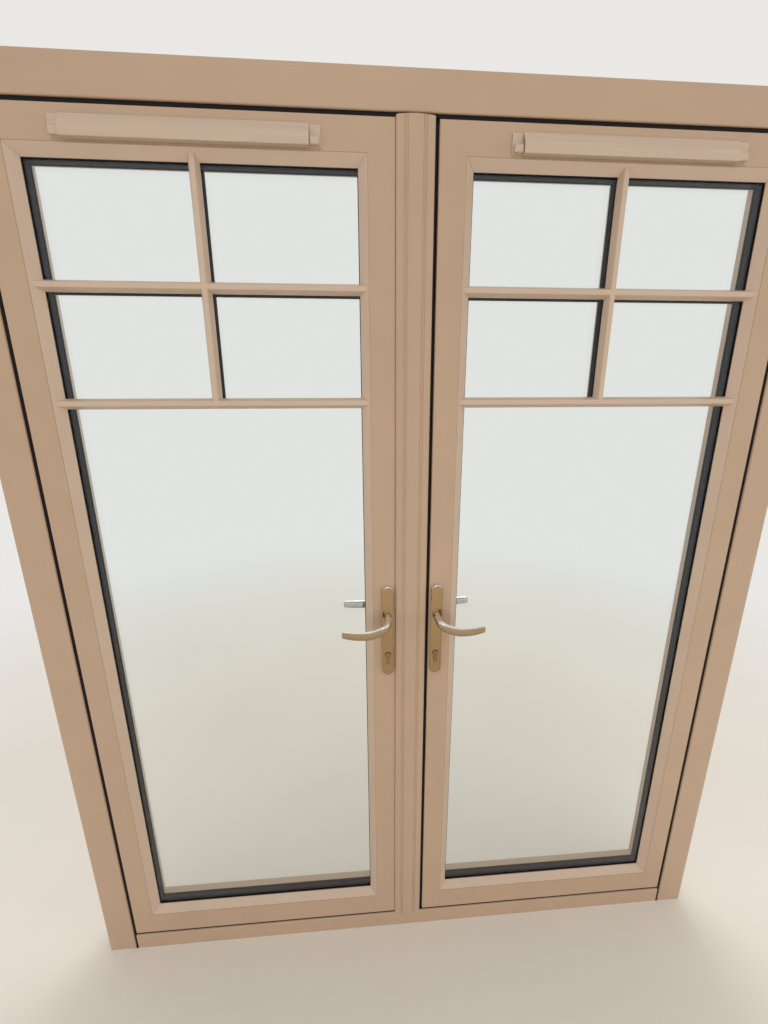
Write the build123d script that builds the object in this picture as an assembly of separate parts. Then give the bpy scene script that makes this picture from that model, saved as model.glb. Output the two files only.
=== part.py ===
from build123d import *
from math import atan, degrees
import os

# A pair of glazed doors that open outwards, hung in their frame, seen from the room.
# X runs across the opening with the right leaf at +X, Y points outwards, Z points up.
# The origin is on the frame's underside at mid width, in the plane of the leaves' inner faces.
# All sizes are in millimetres.

os.makedirs("parts", exist_ok=True)

# Frame
frame_width = 1790.0
frame_height = 2200.0
frame_depth = 70.0
frame_proud = 2.0
jamb_face = 71.0
head_face = 67.0
threshold_top = 70.0
floor_level = 20.0
upstand_depth = 30.0
rebate_step = 22.0
floor_step = 24.0
edge_radius = 3.0
drain_fall = 5.0

# Leaves
leaf_depth = 70.0
gap_side = 8.0
gap_top = 8.0
gap_bottom = 6.0
hardware_gap = 8.0
lap_gap = 4.0
stile_face = 55.0
top_rail_face = 60.0
bottom_rail_face = 69.0
leaf_edge_radius = 2.5

# Mullion that rides on the left leaf
mullion_width = 77.0
mullion_gap = 8.0
mullion_bow = 8.0
mullion_depth = 62.0
mullion_foot_gap = 2.0
mullion_head_gap = 6.0
reed_width = 1.2
reed_depth = 0.8
reed_pitch = 3.4
reeds_in_group = 3
reed_places = (0.26, 0.74)
shoulder_width = 5.0
shoulder_drop = 4.3
shoulder_near = 0.3
shoulder_far = 0.65
mullion_seal_front = 5.0
mullion_seal_width = 6.0
mullion_seal_reach = 4.2
mullion_seal_foot = 18.0
mullion_seal_head = 10.0

# Glazing
bead_face = 18.0
bead_depth = 17.0
bead_step = 0.5
bead_tip = 1.5
gasket = 2.0
gasket_show = 1.2
gasket_inset = 2.0
pane_thickness = 4.0
cavity = 16.0
outer_gasket = 3.0
glass_cover = 12.0
lip_nose = 1.0
lip_angle = 21.0
spacer_width = 8.5
spacer_show = 1.0

# Glazing bars
bar_width = 22.0
bar_ridge = 9.0
bar_height = 15.0
bar_foot = 2.0
bar_edge = 1.2
small_pane_height = 206.0
inner_bar_width = 8.0
inner_bar_depth = 12.0

# Handles, plates, spindles and cylinders
handle_in = 18.5
spindle_z = 1087.0
spindle_to_cylinder = 108.0
plate_above_spindle = 80.0
plate_below_cylinder = 56.0
plate_width = 29.0
plate_thickness = 9.0
plate_rim = 2.6
plate_rim_height = 1.2
spindle_size = 8.0
spindle_end = 27.0
spindle_hole_radius = 8.0
follower_radius = 11.0
follower_hole_radius = 6.0
neck_radius = 9.5
neck_foot = 1.0
neck_straight = 14.0
neck_step = 0.25
lever_reach = 114.0
lever_projection = 56.0
lever_drop = 25.0
lever_height = 22.0
lever_thickness = 9.0

# Ovals along a lever, as shares of the reach, the way out, the drop, the thickness and the height
lever_shape = (
    (0.005, 0.50, 0.10, 1.86, 0.80),
    (0.040, 0.79, 0.30, 1.76, 0.87),
    (0.130, 0.96, 0.52, 1.36, 0.91),
    (0.280, 0.985, 0.80, 1.08, 0.95),
    (0.460, 0.985, 1.00, 0.98, 1.00),
    (0.720, 0.965, 0.99, 0.92, 0.97),
    (0.970, 0.905, 0.86, 0.80, 0.86),
    (1.000, 0.895, 0.84, 0.50, 0.70),
)

# Cylinders
cylinder_radius = 8.5
cylinder_tail = 24.5
cylinder_tail_width = 10.0
cylinder_proud = 3.0
key_slot_width = 1.4
key_slot_height = 9.0
key_slot_depth = 4.0

# Locks and bolts
lock_y = 40.0
groove_width = 16.0
groove_depth = 14.0
faceplate_thickness = 3.0
faceplate_end_gap = 6.0
case_depth = 46.0
case_low = 940.0
case_high = 1180.0
case_wall = 1.5
far_case_back = 6.0
latch_z = 1150.0
latch_height = 18.0
latch_width = 12.0
latch_length = 32.0
latch_travel = 12.0
latch_bevel = 9.6
bolt_height = 34.0
bolt_width = 10.0
bolt_length = 35.0
bolt_travel = 20.0
main_bolt_z = 1045.0
far_bolts_from_ends = 340.0
far_case_height = 90.0
bolt_set_back = 0.5
rod_width = 12.0
rod_thickness = 3.0
shoot_radius = 5.0
shoot_length = 90.0
shoot_travel = 22.0
shoot_set_back = 1.0
shoot_chamfer = 1.0
shoot_play = 1.5
keep_thickness = 3.0
keep_margin = 12.0
keep_side = 5.0
keep_play = 1.5
pocket_spare = 4.0
shoot_keep_side = 4.0

# Flag hinges outside
hinge_from_ends = 250.0
hinge_height = 110.0
hinge_leaf_thickness = 5.0
knuckle_radius = 8.0
pin_radius = 5.0
hinge_standoff = 12.0
frame_leaf_width = 36.0
door_leaf_width = 60.0
hinge_door_inset = 2.0
hinge_frame_inset = 4.0
web_root = 14.0
web_near = 3.0
web_far = 7.0
pin_head_height = 4.0
pin_head_radius = 7.5

# Trickle vents
vent_length = 488.0
vent_cap = 21.0
vent_height = 40.0
vent_drop = 18.0
vent_base = 3.0
vent_proud = 12.0
vent_base_inset = 2.0
flap_wall = 1.8
flap_corner = 2.0
flap_front_share = 0.5
flap_axis_out = 3.0
flap_axis_up = 5.0
flap_barrel_radius = 2.6
flap_pin_radius = 1.5
flap_pin_length = 6.0
flap_rest_gap = 0.6
clip_height = 15.0
clip_inset = 3.0
clip_proud = 9.0
clip_edge = 1.5
slot_length = 400.0
slot_height = 12.0
hood_length = 460.0
hood_height = 38.0
hood_depth = 17.0
hood_wall = 2.0
hood_drop = 12.0
hood_brow = 4.0

# Fixing holes through the frame
fixing_radius = 5.0
fixing_depth_y = 48.0
outer_fixing_spacing = 1800.0
inner_fixing_spacing = 800.0
head_fixing_spacing = 900.0

# Seals between frame and leaves
seal_front = 2.5
seal_depth = 11.0
lap_seal_width = 11.0
lap_seal_inset = 3.0

# Clearances
slide_clearance = 0.3
turn_clearance = 0.3
pin_clearance = 0.05
seal_clearance = 0.4

# How far a cutting shape runs past what it cuts
over = 1.0

# Derived places
seal_back = seal_front + seal_depth
frame_inner = -frame_proud
frame_outer = frame_inner + frame_depth
upstand_back = frame_inner + upstand_depth
half_frame = frame_width / 2
sight_x = half_frame - jamb_face
sight_top = frame_height - head_face
rebate_x = sight_x + rebate_step
rebate_top = sight_top + rebate_step
rebate_floor = threshold_top - floor_step

lap_y = upstand_back + lap_gap
nib_hinge = sight_x - gap_side
nib_top = sight_top - gap_top
nib_bottom = threshold_top + gap_bottom
lap_hinge = rebate_x - hardware_gap
lap_top = rebate_top - hardware_gap
lap_bottom = rebate_floor + hardware_gap
meeting = (mullion_width + mullion_gap) / 2

bead_hinge = nib_hinge - stile_face
bead_meeting = meeting + stile_face
bead_top = nib_top - top_rail_face
bead_bottom = nib_bottom + bottom_rail_face
view_hinge = bead_hinge - bead_face
view_meeting = bead_meeting + bead_face
view_top = bead_top - bead_face
view_bottom = bead_bottom + bead_face
view_centre = (view_hinge + view_meeting) / 2

inner_glass_y = bead_depth + gasket
cavity_y = inner_glass_y + pane_thickness
outer_glass_y = cavity_y + cavity
glass_back = outer_glass_y + pane_thickness
lip_y = glass_back + outer_gasket

bar_z_upper = view_top - small_pane_height - bar_width / 2
bar_z_lower = bar_z_upper - bar_width - small_pane_height

handle_x = meeting + handle_in
mullion_right = meeting - mullion_gap
mullion_low = threshold_top + mullion_foot_gap
mullion_high = sight_top - mullion_head_gap
far_bolt_low = lap_bottom + far_bolts_from_ends
far_bolt_high = lap_top - far_bolts_from_ends
bolt_heights = (far_bolt_low, main_bolt_z, far_bolt_high)
cylinder_z = spindle_z - spindle_to_cylinder
plate_top = spindle_z + plate_above_spindle
plate_foot = cylinder_z - plate_below_cylinder
rod_x = meeting + faceplate_thickness + slide_clearance
shoot_x = rod_x + shoot_radius + slide_clearance
pivot_x = (rebate_x + lap_hinge) / 2
pivot_y = leaf_depth + hinge_standoff
vent_z = nib_top - vent_drop - vent_height / 2
hinge_heights = (hinge_from_ends, frame_height / 2, frame_height - hinge_from_ends)


def block(x0, x1, y0, y1, z0, z1):
    """A box between two corners."""
    size = Box(x1 - x0, y1 - y0, z1 - z0)
    return Pos((x0 + x1) / 2, (y0 + y1) / 2, (z0 + z1) / 2) * size


def along_y(points, y0, y1):
    """A prism whose outline is given in X and Z, running from y0 to y1."""
    outline = make_face(Polyline(*points, close=True))
    return extrude(Plane.XZ.offset(-y0) * outline, amount=y0 - y1)


def along_x(outline, x0, x1):
    """A prism whose section lies in Y and Z, running from x0 to x1."""
    return extrude(Plane.YZ.offset(x0) * outline, amount=x1 - x0)


def along_z(outline, z0, z1):
    """A prism whose section lies in X and Y, running from z0 to z1."""
    return extrude(Plane.XY.offset(z0) * outline, amount=z1 - z0)


def rod_y(x, z, radius, y0, y1):
    """A round bar along Y."""
    return extrude(Plane.XZ.offset(-y0) * Pos(x, z) * Circle(radius), amount=y0 - y1)


def rod_z(x, y, radius, z0, z1):
    """A round bar along Z."""
    return Pos(x, y, (z0 + z1) / 2) * Cylinder(radius, z1 - z0)


def rounded(outline, corners, radius):
    """The outline with the named corners rounded."""
    near = [v for v in outline.vertices() if any((v.center() - Vector(*c, 0)).length < 0.01 for c in corners)]
    return fillet(near, radius)


def save(shape, name):
    """Writes one node, as one solid or a group of separate solids."""
    solids = shape.solids()
    export_step(solids[0] if len(solids) == 1 else Compound(children=list(solids)), f"parts/{name}.step")


def group(shapes):
    """Separate solids kept together as one node."""
    return Compound(children=[s for shape in shapes for s in shape.solids()])


# Frame members


def jamb_section(inner, outer, step):
    """An L of the frame: an upstand towards the room and a rebate behind it."""
    corners = [(inner, frame_inner), (outer, frame_inner), (outer, frame_outer)]
    corners += [(step, frame_outer), (step, upstand_back), (inner, upstand_back)]
    return rounded(make_face(Polyline(*corners, close=True)), corners[0:1], edge_radius)


def corner_cut():
    """What the head keeps above the mitre lines at the two upper corners."""
    reach = head_face / 2
    top = frame_height + reach
    foot = frame_height - head_face - reach
    run = jamb_face / head_face
    high_x = half_frame + reach * run
    low_x = half_frame - (frame_height - foot) * run
    points = [(-high_x, top), (high_x, top), (low_x, foot), (-low_x, foot)]
    return along_y(points, frame_inner - over, frame_outer + over)


def spaced(centre, spacing):
    """Two places, as far apart as the spacing and about the centre."""
    return [centre - spacing / 2, centre + spacing / 2]


def fixing_holes(side):
    """Holes for the wall fixings through one jamb."""
    start = rebate_x - over
    length = half_frame + over - start
    heights = spaced(frame_height / 2, outer_fixing_spacing) + spaced(frame_height / 2, inner_fixing_spacing)
    holes = []
    for z in heights:
        place = Plane(origin=(side * start, fixing_depth_y, z), x_dir=(0, 1, 0), z_dir=(side, 0, 0))
        holes.append(extrude(place * Circle(fixing_radius), amount=length))
    return holes


def frame_jamb(side):
    """A jamb that stands on the subfloor and is mitred to the head."""
    section = jamb_section(side * sight_x, side * half_frame, side * rebate_x)
    jamb = along_z(section, 0, frame_height) - corner_cut()
    for hole in fixing_holes(side):
        jamb -= hole
    return jamb


def frame_head():
    """The head, with holes for the upper wall fixings and for the shoot bolt."""
    corners = [(frame_inner, sight_top), (frame_inner, frame_height), (frame_outer, frame_height)]
    corners += [(frame_outer, rebate_top), (upstand_back, rebate_top), (upstand_back, sight_top)]
    section = rounded(make_face(Polyline(*corners, close=True)), corners[0:1], edge_radius)
    head = along_x(section, -half_frame, half_frame) & corner_cut()
    for x in spaced(0, head_fixing_spacing):
        head -= rod_z(x, fixing_depth_y, fixing_radius, rebate_top - over, frame_height + over)
    return head - shoot_hole(rebate_top - over, rebate_top + shoot_travel)


def shoot_hole(z0, z1):
    """The hole that a shoot bolt enters."""
    return rod_z(-shoot_x, lock_y, shoot_radius + shoot_play, z0, z1)


def frame_threshold():
    """The threshold between the jambs, with a rounded upstand and a floor that drains outwards."""
    slope_start = lock_y + groove_width
    corners = [(frame_inner, 0), (frame_outer, 0), (frame_outer, rebate_floor - drain_fall)]
    corners += [(slope_start, rebate_floor), (upstand_back, rebate_floor)]
    corners += [(upstand_back, threshold_top), (frame_inner, threshold_top)]
    section = rounded(make_face(Polyline(*corners, close=True)), corners[5:7], edge_radius)
    bar = along_x(section, -sight_x, sight_x)
    sill = block(-rebate_x, rebate_x, upstand_back, frame_outer, 0, frame_height)
    outer = along_x(section, -rebate_x, rebate_x) & sill
    sill_bar = bar + outer
    for side in (-1, 1):
        ends = sorted((side * nib_hinge, side * (sight_x + over)))
        sill_bar -= block(*ends, frame_inner - over, seal_back, floor_level, threshold_top + over)
    return sill_bar - shoot_hole(rebate_floor - shoot_travel, rebate_floor + over)


def frame_seal():
    """Gaskets in the visible gap round the leaves, and compression seals behind the upstand."""
    tip = seal_clearance
    front = nib_hinge + tip
    lap_in = sight_x + lap_seal_inset
    lap_out = lap_in + lap_seal_width
    lap_low = sight_top + lap_seal_inset
    lap_high = lap_low + lap_seal_width
    strips = [
        block(-lap_in, lap_in, upstand_back, lap_y - tip, lap_low, lap_high),
        block(-meeting, meeting, seal_front, seal_back, mullion_high + tip, sight_top),
        block(-meeting, meeting, seal_front, seal_back, threshold_top, mullion_low - tip),
    ]
    for side in (-1, 1):
        jamb = sorted((side * front, side * sight_x))
        strips.append(block(*jamb, seal_front, seal_back, floor_level, sight_top))
        lap = sorted((side * lap_in, side * lap_out))
        strips.append(block(*lap, upstand_back, lap_y - tip, threshold_top, lap_high))
        leaf = sorted((side * meeting, side * front))
        strips.append(block(*leaf, seal_front, seal_back, nib_top + tip, sight_top))
        foot = sorted((side * meeting, side * nib_hinge))
        strips.append(block(*foot, seal_front, seal_back, threshold_top, nib_bottom - tip))
    return group(strips)


def shoot_bolt_keeps():
    """Steel plates with a hole, one under the head and one on the threshold."""
    x0 = -shoot_x - shoot_radius - keep_margin
    x1 = -shoot_x + shoot_radius + keep_margin
    y1 = lock_y + groove_width / 2 + shoot_keep_side
    upper = block(x0, x1, upstand_back, y1, rebate_top - keep_thickness, rebate_top)
    lower = block(x0, x1, upstand_back, y1, rebate_floor, rebate_floor + keep_thickness)
    upper -= shoot_hole(rebate_top - keep_thickness - over, rebate_top + over)
    lower -= shoot_hole(rebate_floor - over, rebate_floor + keep_thickness + over)
    return group([upper, lower])


# Leaf members, drawn for the right leaf and mirrored for the left


def leaf_blank():
    """The whole welded leaf frame: nib and lap outside, glazing rebate and sloping lip inside."""
    nib = block(meeting, nib_hinge, 0, lap_y, nib_bottom, nib_top)
    nib = fillet(nib.faces().sort_by(Axis.Y)[0].edges(), leaf_edge_radius)
    lap = block(meeting, lap_hinge, lap_y, leaf_depth, lap_bottom, lap_top)
    lap = fillet(lap.faces().sort_by(Axis.Y)[-1].edges(), leaf_edge_radius)
    rebate = block(bead_meeting, bead_hinge, -over, lip_y, bead_bottom, bead_top)
    light = block(view_meeting, view_hinge, lip_y - over, lip_y + lip_nose, view_bottom, view_top)
    return nib + lap - rebate - light - lip_slope()


def lip_slope():
    """The daylight opening behind the nose of the lip, widening outwards."""
    start = lip_y + lip_nose
    run = leaf_depth - start + over
    width = view_hinge - view_meeting
    height = view_top - view_bottom
    middle = Pos(view_centre, (view_top + view_bottom) / 2) * Rectangle(width, height)
    return extrude(Plane.XZ.offset(-start) * middle, amount=-run, taper=-lip_angle)


def leaf_corner(side, end):
    """Points of the mitre line from the outer corner to the daylight corner."""
    lap_x = lap_hinge if side > 0 else meeting
    nib_x = nib_hinge if side > 0 else meeting
    bead_x = bead_hinge if side > 0 else bead_meeting
    view_x = view_hinge if side > 0 else view_meeting
    tops = (lap_top, nib_top, bead_top, view_top)
    feet = (lap_bottom, nib_bottom, bead_bottom, view_bottom)
    return list(zip((lap_x, nib_x, bead_x, view_x), tops if end > 0 else feet))


def leaf_member(blank, first, second):
    """The part of the leaf frame between two mitre lines."""
    outline = leaf_corner(*first) + leaf_corner(*second)[::-1]
    tidy = [p for i, p in enumerate(outline) if p != outline[i - 1]]
    return blank & along_y(tidy, -over, leaf_depth + over)


def euro_outline(clearance):
    """The keyhole-shaped section of a profile cylinder, centred on its round part."""
    radius = cylinder_radius + clearance
    half_tail = cylinder_tail_width / 2 + clearance
    end = cylinder_tail + clearance
    tail = Pos(0, -(end - half_tail) / 2) * Rectangle(2 * half_tail, end - half_tail)
    return Circle(radius) + tail + Pos(0, half_tail - end) * Circle(half_tail)


def euro_bar(clearance, y0, y1):
    """A bar of the cylinder's section along Y."""
    section = Pos(handle_x, cylinder_z) * euro_outline(clearance)
    return extrude(Plane.XZ.offset(-y0) * section, amount=y0 - y1)


def lock_pocket():
    """What is cut from the meeting stile for the lock case, its long groove and its followers."""
    half = groove_width / 2
    reach = meeting + case_depth + slide_clearance
    low = case_low - slide_clearance
    high = case_high + slide_clearance
    y0, y1 = lock_y - half, lock_y + half
    groove = block(meeting - over, meeting + groove_depth, y0, y1, lap_bottom - over, lap_top + over)
    case = block(meeting - over, reach, y0, y1, low, high)
    spindle = rod_y(handle_x, spindle_z, spindle_hole_radius, -over, leaf_depth + over)
    return [groove, case, spindle, euro_bar(slide_clearance, -over, leaf_depth + over)]


def far_case_pockets():
    """Deeper pockets behind the groove for the two far bolts of the right leaf."""
    half = groove_width / 2
    reach = meeting + bolt_length + far_case_back + slide_clearance
    pockets = []
    for z in (far_bolt_low, far_bolt_high):
        low = z - far_case_height / 2 - slide_clearance
        high = z + far_case_height / 2 + slide_clearance
        pockets.append(block(meeting - over, reach, lock_y - half, lock_y + half, low, high))
    return pockets


def meeting_stile(blank):
    """The stile at the meeting line, with its lock pockets."""
    stile = leaf_member(blank, (-1, 1), (-1, -1))
    for cut in lock_pocket():
        stile -= cut
    return stile


def rail(blank, end):
    """A top or bottom rail, notched where the lock groove runs out at the meeting corner."""
    return leaf_member(blank, (-1, end), (1, end)) - lock_pocket()[0]


def vent_slot(y0, y1):
    """The slot that carries the vent's air through the top rail."""
    half = slot_height / 2
    x0 = view_centre - slot_length / 2
    return block(x0, x0 + slot_length, y0, y1, vent_z - half, vent_z + half)


# Glazing


def mitred_strips(outer, inner, y0, y1):
    """Four straight strips with mitred ends between two rectangles."""
    (ox0, ox1, oz0, oz1), (ix0, ix1, iz0, iz1) = outer, inner
    left = [(ox0, oz0), (ix0, iz0), (ix0, iz1), (ox0, oz1)]
    right = [(ox1, oz0), (ix1, iz0), (ix1, iz1), (ox1, oz1)]
    top = [(ox0, oz1), (ix0, iz1), (ix1, iz1), (ox1, oz1)]
    bottom = [(ox0, oz0), (ix0, iz0), (ix1, iz0), (ox1, oz0)]
    return [along_y(points, y0, y1) for points in (left, right, top, bottom)]


def grown(amount):
    """The daylight rectangle grown on all sides, as x0, x1, z0, z1."""
    return (view_meeting - amount, view_hinge + amount, view_bottom - amount, view_top + amount)


def bead_ring():
    """The glazing beads' slope, as one ring: deep at the rebate wall and thin at the daylight edge."""
    ring = block(bead_meeting, bead_hinge, bead_step, bead_depth, bead_bottom, bead_top)
    run = bead_depth - bead_step - bead_tip
    width = view_hinge - view_meeting
    height = view_top - view_bottom
    middle = Pos(view_centre, (view_top + view_bottom) / 2) * Rectangle(width, height)
    from_tip = Plane.XZ.offset(bead_tip - bead_depth) * middle
    funnel = extrude(from_tip, amount=run, taper=-degrees(atan((bead_face - bead_tip) / run)))
    light = block(view_meeting, view_hinge, 0, bead_depth + over, view_bottom, view_top)
    return ring - funnel - light


def beads(ring):
    """The four mitred beads."""
    outer = (bead_meeting, bead_hinge, bead_bottom, bead_top)
    return group([ring & wedge for wedge in mitred_strips(outer, grown(0), -over, bead_depth + over)])


def pane(y0):
    """One sheet of glass."""
    x0, x1, z0, z1 = grown(glass_cover)
    return block(x0, x1, y0, y0 + pane_thickness, z0, z1)


def glazing_gaskets():
    """Black wedge gaskets between the beads and the glass, and between the glass and the lip."""
    edge = grown(glass_cover - gasket_inset)
    seen = grown(-gasket_show)
    inner = mitred_strips(edge, seen, bead_depth, inner_glass_y)
    outer = mitred_strips(edge, seen, glass_back, lip_y)
    return inner + outer


def spacer():
    """The bent spacer frame between the panes, with flat bars behind the glazing bars."""
    x0, x1, z0, z1 = grown(spacer_width - spacer_show)
    hole = grown(-spacer_show)
    ring = block(x0, x1, cavity_y, outer_glass_y, z0, z1)
    ring -= block(hole[0], hole[1], cavity_y - over, outer_glass_y + over, hole[2], hole[3])
    middle = (cavity_y + outer_glass_y) / 2
    y0, y1 = middle - inner_bar_depth / 2, middle + inner_bar_depth / 2
    half = inner_bar_width / 2
    bars = [block(hole[0], hole[1], y0, y1, z - half, z + half) for z in (bar_z_upper, bar_z_lower)]
    uprights = ((bar_z_lower + half, bar_z_upper - half), (bar_z_upper + half, hole[3]))
    bars += [block(view_centre - half, view_centre + half, y0, y1, a, b) for a, b in uprights]
    return group([ring] + bars)


def bar_section(base_y, out):
    """Half-round-edged trapezium of a glazing bar: (across, depth) points from a base on the glass."""
    half, ridge = bar_width / 2, bar_ridge / 2
    top = bar_height
    side = [(half, 0), (half, bar_foot), (ridge + bar_edge, top - bar_edge), (ridge, top)]
    points = side + [(-a, d) for a, d in side[::-1]]
    return [(a, base_y + out * d) for a, d in points]


def glazing_bars(base_y, out, stops):
    """Two bars across and one upright in two lengths, scribed to each other and to the stops."""
    section = bar_section(base_y, out)
    x0, x1, z0, z1 = grown(bead_face)
    across = []
    for z in (bar_z_upper, bar_z_lower):
        outline = make_face(Polyline(*[(y, z + a) for a, y in section], close=True))
        across.append(along_x(outline, x0, x1))
    outline = make_face(Polyline(*[(view_centre + a, y) for a, y in section], close=True))
    uprights = [along_z(outline, bar_z_lower, bar_z_upper), along_z(outline, bar_z_upper, z1)]
    pieces = across + [(u - across[0]) - across[1] for u in uprights]
    cut = []
    for piece in pieces:
        for stop in stops:
            piece = piece - stop
        cut.append(largest(piece))
    return group(cut)


def largest(shape):
    """The biggest solid of a shape."""
    return shape.solids().sort_by(SortBy.VOLUME)[-1]


# Door furniture


def plate_outline(width, height):
    """A plate with round ends, upright."""
    return Rot(0, 0, 90) * SlotOverall(height, width)


def handle_plate(face_y, out):
    """A long plate with a raised rim, a round hole for the lever and a cylinder hole."""
    middle = (plate_top + plate_foot) / 2
    height = plate_top - plate_foot
    place = Plane(origin=(handle_x, face_y, middle), x_dir=(1, 0, 0), z_dir=(0, out, 0))
    body = extrude(place * plate_outline(plate_width, height), amount=plate_thickness)
    far = body.faces().sort_by(Axis.Y)[-1 if out > 0 else 0]
    body = chamfer(far.edges(), plate_rim_height)
    inner = plate_outline(plate_width - 2 * plate_rim, height - 2 * plate_rim)
    top = place.offset(plate_thickness - plate_rim_height)
    body -= extrude(top * inner, amount=plate_rim_height + over)
    y0, y1 = face_y - plate_thickness - over, face_y + plate_thickness + over
    body -= rod_y(handle_x, spindle_z, neck_radius + turn_clearance, y0, y1)
    return body - euro_bar(slide_clearance, y0, y1)


def lever_stations():
    """Centre, half thickness and half height of each oval, from the neck through the elbow to the tip."""
    out = lever_projection - lever_thickness / 2
    round_half = neck_radius - neck_step
    stations = [(Vector(0, neck_straight, 0), round_half, round_half)]
    for along, outward, sunk, thick, tall in lever_shape:
        centre = Vector(along * lever_reach, outward * out, -sunk * lever_drop)
        stations.append((centre, thick * lever_thickness / 2, tall * lever_height / 2))
    return stations


def lever_runs(centres):
    """The way the lever runs at each oval: across from the one before to the one after."""
    inner = [after - before for before, after in zip(centres, centres[2:])]
    return [Vector(0, 1, 0)] + inner + [centres[-1] - centres[-2]]


def lever():
    """A lever: a round neck and a blade lofted through ovals across its run, with a square socket."""
    stations = lever_stations()
    ovals = []
    for (centre, half_thick, half_tall), run in zip(stations, lever_runs([s[0] for s in stations])):
        place = Plane(origin=centre, x_dir=Vector(0, 0, 1).cross(run), z_dir=run)
        ovals.append(place * Ellipse(half_thick, half_tall))
    whole = rod_y(0, 0, neck_radius, neck_foot, neck_straight + over) + loft(ovals)
    half = spindle_size / 2 + pin_clearance
    return whole - block(-half, half, 0, spindle_end + over, -half, half)


def spindle():
    """The square spindle that joins the two levers, with its round follower inside the lock."""
    half = spindle_size / 2
    x0, x1 = handle_x - half, handle_x + half
    bar = block(x0, x1, -spindle_end, leaf_depth + spindle_end, spindle_z - half, spindle_z + half)
    inner = case_wall + slide_clearance
    y0 = lock_y - groove_width / 2 + inner
    y1 = lock_y + groove_width / 2 - inner
    follower = rod_y(handle_x, spindle_z, follower_radius, y0, y1)
    hole = half + pin_clearance
    x2, x3 = handle_x - hole, handle_x + hole
    follower -= block(x2, x3, y0 - over, y1 + over, spindle_z - hole, spindle_z + hole)
    return group([bar, follower])


def cylinder():
    """A profile cylinder through the leaf, with a key slot at each end."""
    reach = plate_thickness + cylinder_proud
    body = euro_bar(0, -reach, leaf_depth + reach)
    x0, x1 = handle_x - key_slot_width / 2, handle_x + key_slot_width / 2
    z0, z1 = cylinder_z - key_slot_height / 2, cylinder_z + key_slot_height / 2
    for y0 in (-reach - over, leaf_depth + reach - key_slot_depth):
        body -= block(x0, x1, y0, y0 + key_slot_depth + over, z0, z1)
    return body


def lock(bolt_places):
    """A full-height faceplate with the main case and, where it has far bolts, two smaller cases."""
    half = groove_width / 2 - slide_clearance / 2
    y0, y1 = lock_y - half, lock_y + half
    low, high = lap_bottom + faceplate_end_gap, lap_top - faceplate_end_gap
    body = block(meeting, meeting + faceplate_thickness, y0, y1, low, high)
    body += block(meeting, meeting + case_depth, y0, y1, case_low, case_high)
    far = [z for z in bolt_places if z != main_bolt_z]
    for z in far:
        z0, z1 = z - far_case_height / 2, z + far_case_height / 2
        body += block(meeting, meeting + bolt_length + far_case_back, y0, y1, z0, z1)
    y2, y3 = lock_y - groove_width / 2 + case_wall, lock_y + groove_width / 2 - case_wall
    body -= rod_y(handle_x, spindle_z, follower_radius + turn_clearance, y2, y3)
    body -= rod_y(handle_x, spindle_z, follower_hole_radius, y0 - over, y1 + over)
    body -= euro_bar(slide_clearance, y0 - over, y1 + over)
    for z in bolt_places:
        body -= bolt_space(z, bolt_height, bolt_width, bolt_length)
    if bolt_places:
        body -= bolt_space(latch_z, latch_height, latch_width, latch_length)
    return body


def bolt_space(z, height, width, length):
    """The way that a bolt or latch slides in."""
    c = slide_clearance
    x1 = meeting + bolt_set_back + length + c
    y0, y1 = lock_y - width / 2 - c, lock_y + width / 2 + c
    return block(meeting - over, x1, y0, y1, z - height / 2 - c, z + height / 2 + c)


def deadbolts():
    """Three square bolts that the lock throws together."""
    x0 = meeting + bolt_set_back
    y0, y1 = lock_y - bolt_width / 2, lock_y + bolt_width / 2
    half = bolt_height / 2
    return group([block(x0, x0 + bolt_length, y0, y1, z - half, z + half) for z in bolt_heights])


def latch():
    """The latch, bevelled on the side that meets the keep when the leaf closes."""
    x0 = meeting + bolt_set_back
    y0, y1 = lock_y - latch_width / 2, lock_y + latch_width / 2
    corners = [(x0, y1), (x0 + latch_length, y1), (x0 + latch_length, y0)]
    corners += [(x0 + latch_bevel, y0), (x0, y0 + latch_bevel)]
    outline = make_face(Polyline(*corners, close=True))
    return along_z(outline, latch_z - latch_height / 2, latch_z + latch_height / 2)


def shoot_bolt(end):
    """A flat rod under the faceplate with a round shoot at its outer end, which alone leaves the leaf."""
    start = case_high + slide_clearance if end > 0 else case_low - slide_clearance
    tip = lap_top - shoot_set_back if end > 0 else lap_bottom + shoot_set_back
    rod_end = tip - end * (shoot_travel + shoot_set_back)
    z0, z1 = sorted((start, rod_end))
    half = rod_width / 2
    rod = block(-rod_x - rod_thickness, -rod_x, lock_y - half, lock_y + half, z0, z1)
    z2, z3 = sorted((tip - end * shoot_length, tip))
    shoot = rod_z(-shoot_x, lock_y, shoot_radius, z2, z3)
    shoot = chamfer(shoot.faces().sort_by(Axis.Z)[-1 if end > 0 else 0].edges(), shoot_chamfer)
    return rod + shoot


# Mullion


def mullion_section():
    """A bowed front with rounded shoulders and two groups of reeds, and a square body behind."""
    left, right = -meeting, mullion_right
    middle = (left + right) / 2
    width, drop = shoulder_width, shoulder_drop
    near, far = width * shoulder_near, drop * shoulder_far
    front = ThreePointArc((left + width, -drop), (middle, -mullion_bow), (right - width, -drop))
    left_round = ThreePointArc((left, 0), (left + near, -far), (left + width, -drop))
    right_round = ThreePointArc((right - width, -drop), (right - near, -far), (right, 0))
    back = Polyline((right, 0), (right, mullion_depth), (left, mullion_depth), (left, 0))
    section = make_face([left_round, front, right_round, back])
    for share in reed_places:
        centre = left + mullion_width * share
        for i in range(reeds_in_group):
            x = centre + (i - (reeds_in_group - 1) / 2) * reed_pitch
            section -= Pos(x, -bow_at(x)) * Rectangle(reed_width, 2 * reed_depth)
    return section


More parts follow.
